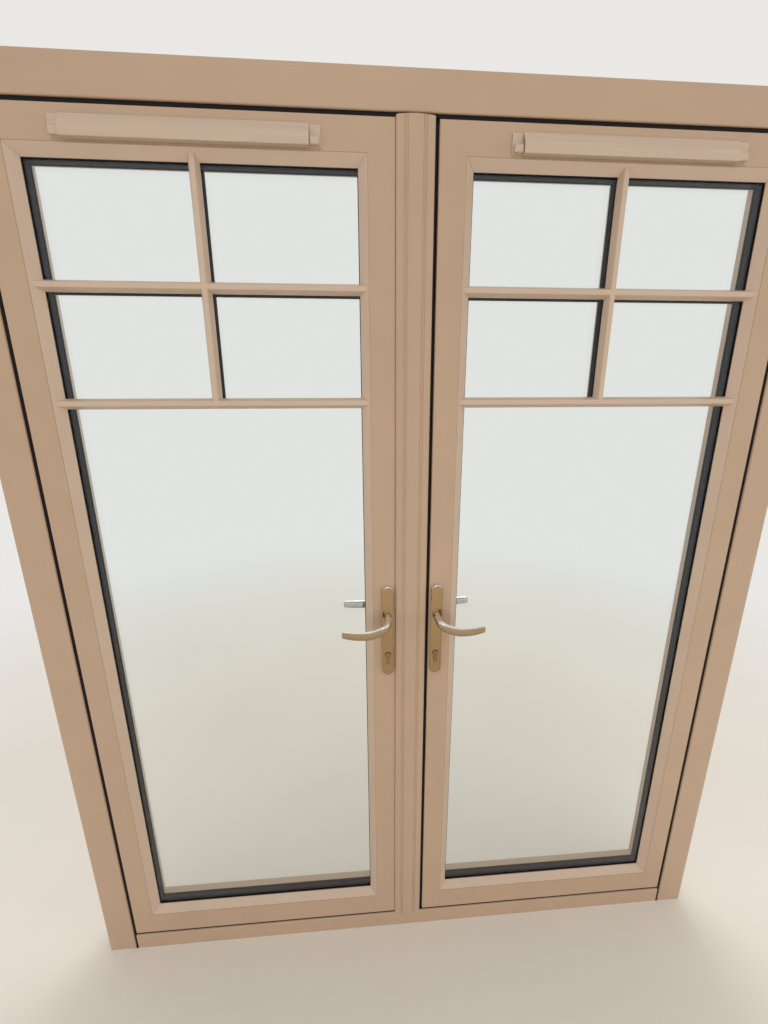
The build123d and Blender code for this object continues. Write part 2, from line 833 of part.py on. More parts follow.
def bow_at(x):
    """How far the bowed front stands proud at x, taking the shallow arc as a parabola."""
    middle = (mullion_right - meeting) / 2
    share = (x - middle) / (mullion_width / 2 - shoulder_width)
    return mullion_bow - (mullion_bow - shoulder_drop) * share * share


def mullion():
    """The meeting post, pocketed for the latch and the bolts of the right leaf."""
    post = along_z(mullion_section(), mullion_low, mullion_high)
    for z, height, width, travel in keep_places():
        post -= keep_pocket(z, height, width, travel)
        post -= keep_plate_box(z, height, width, over)
    return post


def keep_places():
    """Centre height, bolt size and throw of each bolt that enters the mullion."""
    places = [(z, bolt_height, bolt_width, bolt_travel) for z in bolt_heights]
    return places + [(latch_z, latch_height, latch_width, latch_travel)]


def keep_pocket(z, height, width, travel):
    """The pocket that a thrown bolt enters."""
    x0 = mullion_right - travel - pocket_spare
    half = width / 2 + keep_play
    z0, z1 = z - height / 2 - keep_play, z + height / 2 + keep_play
    return block(x0, mullion_right + over, lock_y - half, lock_y + half, z0, z1)


def keep_plate_box(z, height, width, past):
    """The plate round a pocket's mouth, from its back to as far past the mullion's edge."""
    half = width / 2 + keep_side
    z0, z1 = z - height / 2 - keep_margin, z + height / 2 + keep_margin
    x0 = mullion_right - keep_thickness
    return block(x0, mullion_right + past, lock_y - half, lock_y + half, z0, z1)


def mullion_keeps():
    """Flush steel keeps for the latch and the three bolts."""
    plates = []
    for z, height, width, travel in keep_places():
        plates.append(keep_plate_box(z, height, width, 0) - keep_pocket(z, height, width, travel))
    return group(plates)


def mullion_seal():
    """The black seal on the mullion's edge, short of the path of the right leaf's corner."""
    y1 = mullion_seal_front + mullion_seal_width
    z0, z1 = mullion_low + mullion_seal_foot, mullion_high - mullion_seal_head
    return block(mullion_right, mullion_right + mullion_seal_reach, mullion_seal_front, y1, z0, z1)


# Hinges


def on_pivot(radius, z0, z1):
    """A round knuckle, pin or bore on the hinge axis."""
    return rod_z(pivot_x, pivot_y, radius, z0, z1)


def hinge_web(root, edge, face, side, z0, z1):
    """The web from a hinge leaf's face to its knuckles."""
    points = [(root, face), (edge, face), (pivot_x, pivot_y - web_near)]
    points += [(pivot_x + side * web_near, pivot_y + web_far)]
    return along_z(make_face(Polyline(*points, close=True)), z0, z1)


def hinge_bands(z):
    """Lower, middle and upper stretch of one hinge, with running gaps between."""
    low = z - hinge_height / 2
    third = hinge_height / 3
    c = slide_clearance
    return ((low, low + third - c), (low + third, low + 2 * third), (low + 2 * third + c, low + hinge_height))


def door_hinge_leaves():
    """On the leaf: flat plates outside, each with a lower and an upper knuckle."""
    face = leaf_depth
    edge = lap_hinge - hinge_door_inset
    leaves = []
    for z in hinge_heights:
        lower, middle, upper = hinge_bands(z)
        leaf = block(edge - door_leaf_width, edge, face, face + hinge_leaf_thickness, lower[0], upper[1])
        for z0, z1 in (lower, upper):
            leaf += hinge_web(edge - web_root, edge, face, -1, z0, z1) + on_pivot(knuckle_radius, z0, z1)
        leaves.append(leaf - on_pivot(pin_radius + pin_clearance, lower[0] - over, upper[1] + over))
    return group(leaves)


def frame_hinge_leaves():
    """On the frame: flat plates outside, each with the middle knuckle, for both jambs."""
    face = frame_outer
    edge = rebate_x + hinge_frame_inset
    leaves = []
    for z in hinge_heights:
        lower, middle, upper = hinge_bands(z)
        leaf = block(edge, edge + frame_leaf_width, face, face + hinge_leaf_thickness, lower[0], upper[1])
        leaf += hinge_web(edge + web_root, edge, face, 1, *middle) + on_pivot(knuckle_radius, *middle)
        leaves.append(leaf - on_pivot(pin_radius + pin_clearance, lower[0] - over, upper[1] + over))
    return group(leaves + [mirror(leaf, about=Plane.YZ) for leaf in leaves])


def hinge_pins():
    """A headed pin through each hinge, both sides."""
    pins = []
    for z in hinge_heights:
        low, high = z - hinge_height / 2, z + hinge_height / 2
        head = on_pivot(pin_head_radius, high + slide_clearance, high + pin_head_height)
        pins.append(on_pivot(pin_radius, low, high + pin_head_height) + head)
    return group(pins + [mirror(pin, about=Plane.YZ) for pin in pins])


# Trickle vents


def vent_body():
    """The vent's base plate over the slot, with a block for the flap's pin at each end."""
    half = vent_length / 2
    z0 = vent_z - vent_height / 2 + vent_base_inset
    z1 = vent_z + vent_height / 2 - vent_base_inset
    base = block(view_centre - half, view_centre + half, -vent_base, 0, z0, z1)
    base -= vent_slot(-vent_base - over, over)
    for side in (-1, 1):
        x0, x1 = sorted((view_centre + side * (half - clip_inset), view_centre + side * (half - vent_cap)))
        clip = block(x0, x1, -vent_base - clip_proud, 0, z0 + vent_base_inset / 2, z0 + clip_height)
        base += chamfer(clip.faces().sort_by(Axis.Y)[0].edges(), clip_edge)
    pin = Pos(*flap_axis()) * Circle(flap_pin_radius + pin_clearance)
    reach = half - vent_cap + flap_pin_length
    return base - along_x(pin, view_centre - reach, view_centre + reach)


def flap_axis():
    """Where the flap turns, as y and z."""
    return (-vent_base - flap_axis_out, vent_z - vent_height / 2 + flap_axis_up)


def flap_section():
    """The flap's wall: a lip below, an upright front and a top that slopes back to the base."""
    front = -vent_base - vent_proud
    low = vent_z - vent_height / 2
    brow = low + vent_height * flap_front_share
    high = vent_z + vent_height / 2
    back = -vent_base - flap_rest_gap
    wall = flap_wall
    outer = [(back - wall, low), (front, low), (front, brow), (back, high)]
    inner = [(back, high - 2 * wall), (front + wall, brow - wall / 2), (front + wall, low + wall)]
    inner += [(back - wall, low + wall)]
    face = make_face(Polyline(*(outer + inner), close=True))
    return rounded(face, outer[1:3], flap_corner)


def vent_flap():
    """The flap, hinged near its lower edge on a pin at each end."""
    half = vent_length / 2 - vent_cap - slide_clearance
    y, z = flap_axis()
    low = vent_z - vent_height / 2
    web = Pos(y - flap_pin_radius / 2, (z + low) / 2) * Rectangle(flap_pin_radius, z - low)
    section = flap_section() + web + Pos(y, z) * Circle(flap_barrel_radius)
    flap = along_x(section, view_centre - half, view_centre + half)
    reach = half + slide_clearance + flap_pin_length - pin_clearance
    return flap + along_x(Pos(y, z) * Circle(flap_pin_radius), view_centre - reach, view_centre + reach)


def vent_hood():
    """The weather hood outside: sloping top, plain front, open below."""
    half = hood_length / 2
    y, w = leaf_depth, hood_wall
    front = y + hood_depth
    top = vent_z + hood_height / 2
    low = vent_z - hood_height / 2
    outer = [(y, low), (front, low), (front, top - hood_drop), (y + hood_brow, top), (y, top)]
    inner = [(y - over, low - over), (front - w, low - over), (front - w, top - hood_drop - w / 2)]
    inner += [(y + hood_brow - w / 4, top - w), (y - over, top - w)]
    shell = along_x(make_face(Polyline(*outer, close=True)), view_centre - half, view_centre + half)
    space = along_x(make_face(Polyline(*inner, close=True)), view_centre - half + w, view_centre + half - w)
    return shell - space


# Build and write


def both(shape, name):
    """Writes a right-hand piece and its mirror image for the left."""
    save(shape, f"right_{name}")
    save(mirror(shape, about=Plane.YZ), f"left_{name}")


def main():
    save(frame_head(), "frame_head")
    save(frame_jamb(-1), "frame_jamb_left")
    save(frame_jamb(1), "frame_jamb_right")
    save(frame_threshold(), "frame_threshold")
    save(frame_seal(), "frame_seal")
    save(shoot_bolt_keeps(), "shoot_bolt_keeps")
    save(frame_hinge_leaves(), "frame_hinge_leaves")
    save(hinge_pins(), "hinge_pins")

    blank = leaf_blank()
    stile = meeting_stile(blank)
    save(mirror(stile, about=Plane.YZ), "left_meeting_stile")
    for pocket in far_case_pockets():
        stile -= pocket
    save(stile, "right_meeting_stile")
    both(leaf_member(blank, (1, 1), (1, -1)), "hinge_stile")
    both(rail(blank, 1) - vent_slot(-over, leaf_depth + over), "top_rail")
    both(rail(blank, -1), "bottom_rail")

    ring = bead_ring()
    gaskets = glazing_gaskets()
    both(beads(ring), "beads")
    both(pane(inner_glass_y), "inner_pane")
    both(pane(outer_glass_y), "outer_pane")
    both(spacer(), "spacer")
    both(group(gaskets), "glazing_gaskets")
    both(glazing_bars(inner_glass_y, -1, [ring] + gaskets), "inside_bars")
    both(glazing_bars(glass_back, 1, [blank] + gaskets), "outside_bars")

    both(handle_plate(0, -1), "inside_plate")
    both(handle_plate(leaf_depth, 1), "outside_plate")
    handle = lever()
    both(Pos(handle_x, 0, spindle_z) * mirror(handle, about=Plane.XZ), "inside_lever")
    both(Pos(handle_x, leaf_depth, spindle_z) * handle, "outside_lever")
    both(spindle(), "spindle")
    both(cylinder(), "cylinder")
    save(lock(bolt_heights), "right_lock")
    save(mirror(lock(()), about=Plane.YZ), "left_lock")
    save(deadbolts(), "right_deadbolts")
    save(latch(), "right_latch")
    save(shoot_bolt(1), "left_top_bolt")
    save(shoot_bolt(-1), "left_bottom_bolt")

    save(mullion(), "mullion")
    save(mullion_keeps(), "mullion_keeps")
    save(mullion_seal(), "mullion_seal")

    both(door_hinge_leaves(), "hinge_leaves")
    both(vent_body(), "vent_body")
    both(vent_flap(), "vent_flap")
    both(vent_hood(), "vent_hood")


main()
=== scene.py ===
# %% [markdown]
# # A pair of glazed doors in their frame
# The solids of the doors are already made, in metres, with the room on the -Y side.
# This lesson gives them their finishes, adds the small pieces that solids leave out, and lights and
# frames them. First the imported solids are loaded.
# %% Loading the solids
import bpy
import numpy as np
from mathutils import Matrix, Vector


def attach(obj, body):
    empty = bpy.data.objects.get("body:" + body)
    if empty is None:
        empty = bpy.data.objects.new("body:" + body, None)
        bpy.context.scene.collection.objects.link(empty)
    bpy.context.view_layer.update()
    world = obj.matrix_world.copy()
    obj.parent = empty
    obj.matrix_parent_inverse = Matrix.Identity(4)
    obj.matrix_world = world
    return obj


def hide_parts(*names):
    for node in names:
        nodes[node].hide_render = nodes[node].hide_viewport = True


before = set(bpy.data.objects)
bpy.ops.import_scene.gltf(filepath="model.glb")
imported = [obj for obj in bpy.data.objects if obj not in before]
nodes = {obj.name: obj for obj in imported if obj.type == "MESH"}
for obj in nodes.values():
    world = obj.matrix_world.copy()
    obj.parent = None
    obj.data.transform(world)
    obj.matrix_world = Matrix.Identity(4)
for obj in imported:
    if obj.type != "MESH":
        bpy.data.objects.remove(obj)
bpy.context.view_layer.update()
# %% [markdown]
# ## The camera
# The doors were seen from a little left of their middle, less than a metre away and from head height,
# through a very wide lens that looks down. A camera could be aimed at a point, but the doors lean slightly
# in the picture, so three turns are used: down, then to the right, then the small tilt of the hand. The
# sensor's width spans the longer side of the picture, which gives the lens its length.
# %% Camera
camera_place = Vector((-0.1333, -0.9188, 1.5831))
camera_pitch = -0.24337
camera_yaw = -0.0698
camera_roll = 0.0056
focal_pixels = 404.53
picture_height = 1024
sensor = 36.0
nearest_seen = 0.01


def turn(axis, angle):
    """A turn by an angle in radians about one axis, as a 3 by 3 matrix."""
    return Matrix.Rotation(angle, 3, axis)


look = turn("Z", camera_yaw) @ turn("X", camera_pitch) @ turn("Y", camera_roll)
right, ahead, up = (look.col[i] for i in range(3))
axes = Matrix((right, up, -ahead)).transposed()
lens = bpy.data.cameras.new("camera")
lens.sensor_width = sensor
lens.lens = focal_pixels * sensor / picture_height
lens.clip_start = nearest_seen
camera = bpy.data.objects.new("camera", lens)
camera.matrix_world = Matrix.Translation(camera_place) @ axes.to_4x4()
bpy.context.scene.collection.objects.link(camera)
bpy.context.scene.camera = camera
bpy.context.scene.view_settings.view_transform = "Standard"
print("lens", round(lens.lens, 2), "mm")
# %% [markdown]
# ## Shader maths as plain expressions
# A finish that varies is a sum: a base colour, a slow blotch, a fine grain, a worn edge. The node editor
# draws sums as boxes and wires. A small class that holds one output socket and answers to + - * / lets
# the same sum be written as a line of code, and one method adds every other kind of node.
# %% A socket that can be calculated with
class Wire:
    """One output socket of a shader tree. Arithmetic on it adds Math nodes."""

    def __init__(self, tree, socket=None):
        self.tree = tree
        self.socket = socket

    def node(self, kind, settings=None, inputs=None, output=0):
        """Any node: its type, its settings, the values or wires of its sockets, and which output to hold."""
        made = self.tree.nodes.new(kind)
        for name, value in (settings or {}).items():
            setattr(made, name, value)
        for name, value in (inputs or {}).items():
            if isinstance(value, Wire):
                self.tree.links.new(value.socket, made.inputs[name])
            else:
                made.inputs[name].default_value = value
        return Wire(self.tree, made.outputs[output] if len(made.outputs) else None)

    def other(self, output):
        """Another output of the node that this wire leaves."""
        return Wire(self.tree, self.socket.node.outputs[output])

    def math(self, operation, *values):
        """A Math node with these values or wires, in order."""
        return self.node("ShaderNodeMath", {"operation": operation}, dict(enumerate(values)))

    def __add__(self, more):
        return self.math("ADD", self, more)

    def __radd__(self, more):
        return self.math("ADD", more, self)

    def __sub__(self, less):
        return self.math("SUBTRACT", self, less)

    def __rsub__(self, start):
        return self.math("SUBTRACT", start, self)

    def __mul__(self, times):
        return self.math("MULTIPLY", self, times)

    def __rmul__(self, times):
        return self.math("MULTIPLY", times, self)

    def __truediv__(self, share):
        return self.math("DIVIDE", self, share)

    def __rtruediv__(self, whole):
        return self.math("DIVIDE", whole, self)

    def __abs__(self):
        return self.math("ABSOLUTE", self)

    def least(self, rival):
        """The smaller of two."""
        return self.math("MINIMUM", self, rival)

    def rise(self, start, end):
        """0 before start, 1 after end and a smooth rise between them."""
        ends = {"Value": self, "From Min": start, "From Max": end}
        return self.node("ShaderNodeMapRange", {"interpolation_type": "SMOOTHSTEP"}, ends)

    def fall(self, start, end):
        """1 before start, 0 after end and a smooth fall between them."""
        return 1.0 - self.rise(start, end)

    def between(self, first, second):
        """The colour first at 0 and second at 1. Inputs 6 and 7 and output 2 are the ones for colours."""
        return self.node("ShaderNodeMix", {"data_type": "RGBA"}, {0: self, 6: first, 7: second}, 2)


print("a wire adds, subtracts, multiplies, divides, rises, falls and mixes")
# %% [markdown]
# ## Patterns that every finish shares
# Real surfaces differ at several scales at once, so each finish reads its place on the doors in
# millimetres and asks for noise of a stated size. Stretched noise gives the faint lines that a die leaves
# along an extruded profile. An image could hold such patterns too, but noise stays sharp at any distance.
# Places are read in object coordinates, so a pattern stays put when a leaf swings.
# %% Places and noise
millimetres = 1000.0
# How much each finer layer of noise counts beside the one before
finer_share = 0.55


def new_material(name):
    """An empty material, as a wire to build on, and the place on the object in millimetres."""
    material = bpy.data.materials.new(name)
    material.use_nodes = True
    material.node_tree.nodes.clear()
    start = Wire(material.node_tree)
    metres = start.node("ShaderNodeTexCoord", output="Object")
    place = start.node("ShaderNodeVectorMath", {"operation": "SCALE"}, {0: metres, "Scale": millimetres})
    return material, start, place


def noise(place, sizes, detail=3.0):
    """Noise from 0 to 1, with blotches of one size in mm or of one each along X, Y and Z."""
    if isinstance(sizes, float):
        sizes = (sizes, sizes, sizes)
    shrunk = place.node("ShaderNodeVectorMath", {"operation": "DIVIDE"}, {0: place, 1: sizes})
    inputs = {"Vector": shrunk, "Scale": 1.0, "Detail": detail, "Roughness": finer_share}
    return place.node("ShaderNodeTexNoise", {}, inputs)


def parts_of(place):
    """X, Y and Z of a place, as three wires."""
    split = place.node("ShaderNodeSeparateXYZ", {}, {0: place})
    return split, split.other(1), split.other(2)


print("patterns are in millimetres, and a finer layer counts", finer_share)
# %% [markdown]
# Every finish ends in the same few steps: a height becomes a relief, a pattern makes a colour a little
# darker or lighter, and all of it feeds one principled surface. Written once, they keep each finish below
# down to what is its own.
# %% Relief, tones and the surface
# Noise keeps to the middle of 0 to 1, so a tone that should run from end to end rises within one of these
middle_half, nearly_all = (0.25, 0.75), (0.2, 0.8)


def bumped(height, depth):
    """A normal that shows a height from 0 to 1 as a relief of this depth in mm."""
    inputs = {"Height": height, "Distance": depth / millimetres, "Strength": 1.0}
    return height.node("ShaderNodeBump", {}, inputs)


def surface_of(start, inputs):
    """Ends a material: a principled surface with these inputs, wired to the material's output."""
    surface = start.node("ShaderNodeBsdfPrincipled", {}, inputs)
    start.node("ShaderNodeOutputMaterial", {}, {"Surface": surface})


def dimmed(colour, share):
    """A colour with its red, green and blue times a share."""
    return tuple(c * share for c in colour[:3]) + (1.0,)


def varied(pattern, colour, darkest, lightest):
    """A colour times darkest where the pattern is 0, and times lightest where it is 1."""
    return pattern.between(dimmed(colour, darkest), dimmed(colour, lightest))


print("a tone of 0.5 dimmed to 0.9 is", dimmed((0.5, 0.5, 0.5, 1.0), 0.9)[0])
# %% [markdown]
# ## Cream profile
# The profiles are smooth plastic with a thin cream skin. They are welded at the corners, and the bead of
# weld is cut off, which leaves a hairline along each mitre. The solids already meet there, so the hairline
# could be a groove in the mesh, but it is a tenth of a millimetre deep: a darker line with a little relief,
# drawn where the distance to the mitre is small, shows the same and follows the leaf's own sizes. The
# glazing beads are cut and pressed in, not welded, so their mitres and the joint that they make with the
# leaf on the room side are drawn in the same way, but wider and darker. The joint's darker line is painted
# shade: the shadow in the narrow gap between bead and leaf.
# %% Distances to the mitres and the beads
leaf_side, leaf_middle = 816.0, 42.5
leaf_top, leaf_foot = 2125.0, 76.0
stile_face, top_face, foot_face = 55.0, 60.0, 69.0
jamb_edge, frame_top = 895.0, 2200.0
jamb_face, head_face = 71.0, 67.0
bead_near, bead_far, bead_low, bead_high = 97.5, 761.0, 145.0, 2065.0
bead_face = 18.0


def mitre_line(across, upright, width, height):
    """Distance in mm from the line through a corner whose run is width across for height upright."""
    scale = width * height / np.hypot(width, height)
    return abs(across / width - upright / height) * scale


def inside_beads(x, z):
    """How far in mm a place lies inside the beads' outer edge, across and upright."""
    across = (bead_far - abs(x)).least(abs(x) - bead_near)
    return across, (bead_high - z).least(z - bead_low)


print("the beads measure", bead_far - bead_near, "by", bead_high - bead_low, "mm outside")
# %% [markdown]
# A distance becomes a line when it falls from 1 to 0 within a fraction of a millimetre. The fall is soft,
# because a hard edge would sparkle from afar. The painted shade of the joint along the beads is seen only
# from the room, so it fades with depth.
# %% Lines along the mitres and the beads
# A line is whole up to the first distance in mm and gone past the second
weld_edges, cut_edges, joint_edges = (0.12, 0.42), (0.15, 0.55), (0.3, 1.3)
# Depths in mm from the room's face: the joint shows before the first and not after the second
room_side = (20.0, 30.0)
# Strengths beside the beads' own mitres, which count 1: of the leaves' weld lines, and of the beads' side
# of the joint's painted shade
weld_share, joint_shade_share = 0.4, 0.6


def bead_joint_shade(x, y, z):
    """Painted shade in the joint between beads and profile on the room side: 1 along it, 0 a little over 1
    mm away.
    """
    across, upright = inside_beads(x, z)
    return abs(across.least(upright)).fall(*joint_edges) * y.fall(*room_side)


def leaf_weld_and_shade(place):
    """The faint hairlines of either leaf's four corners, and the stronger painted shade along the beads."""
    x, y, z = parts_of(place)
    across = (leaf_side - abs(x)).least(abs(x) - leaf_middle)
    upper = mitre_line(across, leaf_top - z, stile_face, top_face)
    lower = mitre_line(across, z - leaf_foot, stile_face, foot_face)
    return upper.least(lower).fall(*weld_edges) * weld_share + bead_joint_shade(x, y, z)


def frame_weld(place):
    """The faint hairlines of the frame's two upper corners."""
    x, _, z = parts_of(place)
    line = mitre_line(jamb_edge - abs(x), frame_top - z, jamb_face, head_face)
    return line.fall(*weld_edges) * weld_share


def bead_mitre_and_shade(place):
    """1 on the beads' mitres, and the beads' own side of the joint's painted shade."""
    x, y, z = parts_of(place)
    across, upright = inside_beads(x, z)
    mitres = mitre_line(across, upright, bead_face, bead_face).fall(*cut_edges)
    return mitres + bead_joint_shade(x, y, z) * joint_shade_share


print("a weld's hairline is", 2 * weld_edges[1], "mm wide and the joint", 2 * joint_edges[1], "mm")
# %% [markdown]
# The skin itself is even, but never quite one colour: slow blotches a hand wide, streaks along the
# extrusion, a fine peel like that of an orange, and dust that gathers low down. Each could be a finish of
# its own. They are one function here, so that all the creams of the doors differ only where pieces do.
# %% The cream skin
dust_tone = (0.36, 0.29, 0.22, 1.0)
blotch_size, peel_size, dust_size = 140.0, 0.9, 18.0
# Dust is thick below the first height in mm and gone above the second
dusty_heights = (80.0, 340.0)
cream_spread = (0.955, 1.045)
# One darkness serves the mitres' dark joints and the painted shade along the bead joint
dust_strength, line_strength, line_and_shade_darkness = 0.16, 0.45, 0.42
# The depth of the peel in mm, and how many times deeper a line cuts
peel_depth, line_depth = 0.012, 3.0


def smooth_plastic(name, colour, streaks, lines=None, roughness=0.31):
    """A skinned profile: colour with blotches, streaks, low dust, mitre lines and painted shade at bead
    joints.
    """
    material, start, place = new_material(name)
    _, _, z = parts_of(place)
    blotch = noise(place, blotch_size, 2.0)
    streak = noise(place, streaks)
    grain = noise(place, peel_size, 2.0)
    dust = z.fall(*dusty_heights) * noise(place, dust_size, 6.0)
    # The slow blotches carry half of the tone, and the fine grain only a little
    mix = blotch * 0.5 + streak * 0.35 + grain * 0.15
    tone = varied(mix.rise(*middle_half), colour, *cream_spread)
    tone = (dust * dust_strength).between(tone, dust_tone)
    height = grain * 0.6 + streak * 0.4
    if lines:
        line = lines(place)
        # The lines darken the colour: at mitres a dark joint, along the bead joint painted shade
        tone = (line * line_strength).between(tone, dimmed(colour, line_and_shade_darkness))
        height = height - line * line_depth
    # Roughness is a base and what each pattern adds: dust dulls the skin, the die's streaks shine a little
    rough = roughness + blotch * 0.08 + dust * 0.25 - streak * 0.04
    inputs = {"Base Color": tone, "Roughness": rough, "Normal": bumped(height, peel_depth)}
    surface_of(start, inputs | {"Specular IOR Level": 0.5, "Coat Weight": 0.12, "Coat Roughness": 0.18})
    return material


print("dust gathers below", dusty_heights[1], "mm")
# %% [markdown]
# The streaks of a stile run upright and those of a rail run across, and frame and leaves have mitres of
# their own, so these are four creams. The meeting post has no mitre. The beads and the glazing bars have no
# streaks that show, and their paler cream is painted light: the extra light that they catch beside the
# glass.
# %% Seven creams
cream = (0.468, 0.325, 0.219, 1.0)
# Painted light: the beads' and bars' paler cream is the leaves' cream lit more strongly
bead_painted_light_tone = (0.56, 0.42, 0.315, 1.0)
upright_streaks, level_streaks, no_streaks = (1.6, 1.6, 900.0), (900.0, 1.6, 1.6), 400.0
profile_roughness = 0.32

leaf_upright = smooth_plastic("cream_leaf_upright", cream, upright_streaks, leaf_weld_and_shade, profile_roughness)
leaf_level = smooth_plastic("cream_leaf_level", cream, level_streaks, leaf_weld_and_shade, profile_roughness)
frame_upright = smooth_plastic("cream_frame_upright", cream, upright_streaks, frame_weld, profile_roughness)
frame_level = smooth_plastic("cream_frame_level", cream, level_streaks, frame_weld, profile_roughness)
bead_cream = smooth_plastic("cream_bead", bead_painted_light_tone, no_streaks, bead_mitre_and_shade)
bar_cream = smooth_plastic("cream_bar", bead_painted_light_tone, no_streaks)
mullion_cream = smooth_plastic("cream_mullion", cream, upright_streaks)
print("cream", cream[:3], "and for beads and bars", bead_painted_light_tone[:3])
# %% [markdown]
# ## Painted hinges
# The hinges are powder coated: the powder melts into a skin with a slightly coarser peel than the
# profiles'. They could take the profiles' cream, but under a low light the coarser gloss tells them apart.
# %% Powder coat
coat_peel_size, coat_peel_depth, coat_blotch_size = 1.8, 0.03, 25.0
coat_spread = (0.93, 1.04)


def powder_coat(name, colour):
    """Paint with a fine peel, a little glossier where the noise is low."""
    material, start, place = new_material(name)
    peel = noise(place, coat_peel_size, 2.0)
    blotch = noise(place, coat_blotch_size)
    tone = varied(blotch.rise(*nearly_all), colour, *coat_spread)
    rough = 0.3 + blotch * 0.15
    inputs = {"Base Color": tone, "Roughness": rough, "Normal": bumped(peel, coat_peel_depth)}
    surface_of(start, inputs | {"Coat Weight": 0.2, "Coat Roughness": 0.2})
    return material


hinge_paint = powder_coat("hinge_paint", cream)
print("paint", cream[:3], "with a peel of", coat_peel_depth, "mm")
# %% [markdown]
# ## The ventilators' plastic
# The ventilators are moulded in a paler plastic with a soft satin grain, and the plastic flowed along them
# as they were made. What faces up gathers dust. The dust could be a layer of its own, but a mix by the
# surface's own direction is enough for so thin a film.
# %% Moulded plastic
vent_tone = (0.535, 0.41, 0.315, 1.0)
pale_dust = (0.40, 0.35, 0.30, 1.0)
satin_size, satin_depth, settled_size = 0.5, 0.01, 5.0
flow_sizes, flow_spread = (220.0, 9.0, 9.0), (0.965, 1.035)
settled_strength = 0.2
# No dust where the normal's upward share is below the first, all of it above the second
upward_shares = (0.3, 1.0)


def moulded(name, colour):
    """Moulded plastic: an even colour, a fine satin grain, and dust on what faces up."""
    material, start, place = new_material(name)
    grain = noise(place, satin_size, 2.0)
    flow = noise(place, flow_sizes, 2.0)
    _, _, facing_up = parts_of(start.node("ShaderNodeNewGeometry", output="Normal"))
    dust = facing_up.rise(*upward_shares) * noise(place, settled_size, 5.0)
    tone = varied(flow.rise(*middle_half), colour, *flow_spread)
    tone = (dust * settled_strength).between(tone, pale_dust)
    rough = 0.38 + grain * 0.1 + dust * 0.2
    surface_of(start, {"Base Color": tone, "Roughness": rough, "Normal": bumped(grain, satin_depth)})
    return material


vent_plastic = moulded("vent_plastic", vent_tone)
print("moulded plastic", vent_tone[:3])
# %% [markdown]
# ## Rubber
# The seals are extruded black rubber: matt, faintly streaked, with pale dust in places. Black alone would
# read as a hole in the picture, so the dust and a soft sheen say that something is there.
# %% Rubber
rubber_black, rubber_dust = (0.010, 0.009, 0.010, 1.0), (0.055, 0.050, 0.048, 1.0)
rubber_size, rubber_depth = 3.0, 0.05
# Specks show where the noise is above the first value, and whole above the second
speck_size, speck_range, speck_strength = 1.2, (0.58, 0.8), 0.35


def rubber(name):
    """Black rubber: nearly no colour, a soft sheen, pale dust where the fine noise peaks."""
    material, start, place = new_material(name)
    streak = noise(place, rubber_size)
    speck = noise(place, speck_size, 5.0).rise(*speck_range)
    tone = (speck * speck_strength).between(rubber_black, rubber_dust)
    inputs = {"Base Color": tone, "Roughness": 0.5 + streak * 0.2, "Normal": bumped(streak, rubber_depth)}
    surface_of(start, inputs | {"Specular IOR Level": 0.15})
    return material


black_rubber = rubber("black_rubber")
print("rubber", rubber_black[:3], "with dust", rubber_dust[:3])
# %% [markdown]
# ## The black edge of the glass
# The band round the glass is the spacer that holds the two sheets apart, pierced with a row of pinholes
# towards the cavity so that the drying grains inside can reach the air. Thousands of real holes would be a
# heavy mesh. A side of the spacer runs along X or along Z, so x + z counts the millimetres along either, and
# its remainder after one pitch, less half a pitch, is the distance from the nearest hole's middle.
# %% Spacer
spacer_black, hole_black = (0.014, 0.016, 0.026, 1.0), (0.002, 0.002, 0.003, 1.0)
spacer_grain_size, spacer_relief = 0.8, 0.06
pinhole_pitch, spacer_middle = 4.0, 31.0
# Squares of the distance from a hole's middle, in square mm: inside the first, outside the second
pinhole_edges = (0.3, 0.9)
# How much darker a hole is and how much deeper than the grain
hole_strength, hole_depth = 0.8, 2.0
# A whole number of pitches that keeps x + z above 0 on both leaves
run_start = 4000.0


def pierced(name):
    """The spacer: matt blue-black, with pinholes where along^2 + depth^2 is small."""
    material, start, place = new_material(name)
    x, y, z = parts_of(place)
    run = x + z + run_start
    along = run.math("MODULO", run, pinhole_pitch) - pinhole_pitch / 2
    depth = y - spacer_middle
    hole = (along * along + depth * depth).fall(*pinhole_edges)
    grain = noise(place, spacer_grain_size)
    tone = (hole * hole_strength).between(spacer_black, hole_black)
    inputs = {"Base Color": tone, "Roughness": 0.42 + grain * 0.2, "Specular IOR Level": 0.1}
    surface_of(start, inputs | {"Normal": bumped(grain - hole * hole_depth, spacer_relief)})
    return material


black_spacer = pierced("black_spacer")
print("a spacer with a pinhole every", pinhole_pitch, "mm")
# %% [markdown]
# ## Clear glass
# Each leaf holds two sheets of 4 mm float glass. A thin sheet could be a see-through film, but real
# sheets have a front and a back and a green edge, so the solids keep their thickness and refract. The
# colour is only just off white: light passes four faces and both thicknesses. Glass bends light by 1.5,
# and a little less is used here, because each face mirrors the pale surroundings over the black edge.
# %% Glass
clear_tone, smeared_tone = (0.955, 0.975, 0.970, 1.0), (0.945, 0.965, 0.960, 1.0)
smear_sizes, smear_range, smear_dulling = (90.0, 90.0, 30.0), (0.55, 0.9), 0.012
glass_bend = 1.36


def float_glass(name):
    """Glass: full transmission, a trace of green, and smears that only just dull the gloss."""
    material, start, place = new_material(name)
    smear = noise(place, smear_sizes, 4.0).rise(*smear_range)
    tone = smear.between(clear_tone, smeared_tone)
    inputs = {"Base Color": tone, "Roughness": smear * smear_dulling}
    surface_of(start, inputs | {"Transmission Weight": 1.0, "IOR": glass_bend})
    return material


clear_glass = float_glass("clear_glass")
print("glass that bends light by", glass_bend)
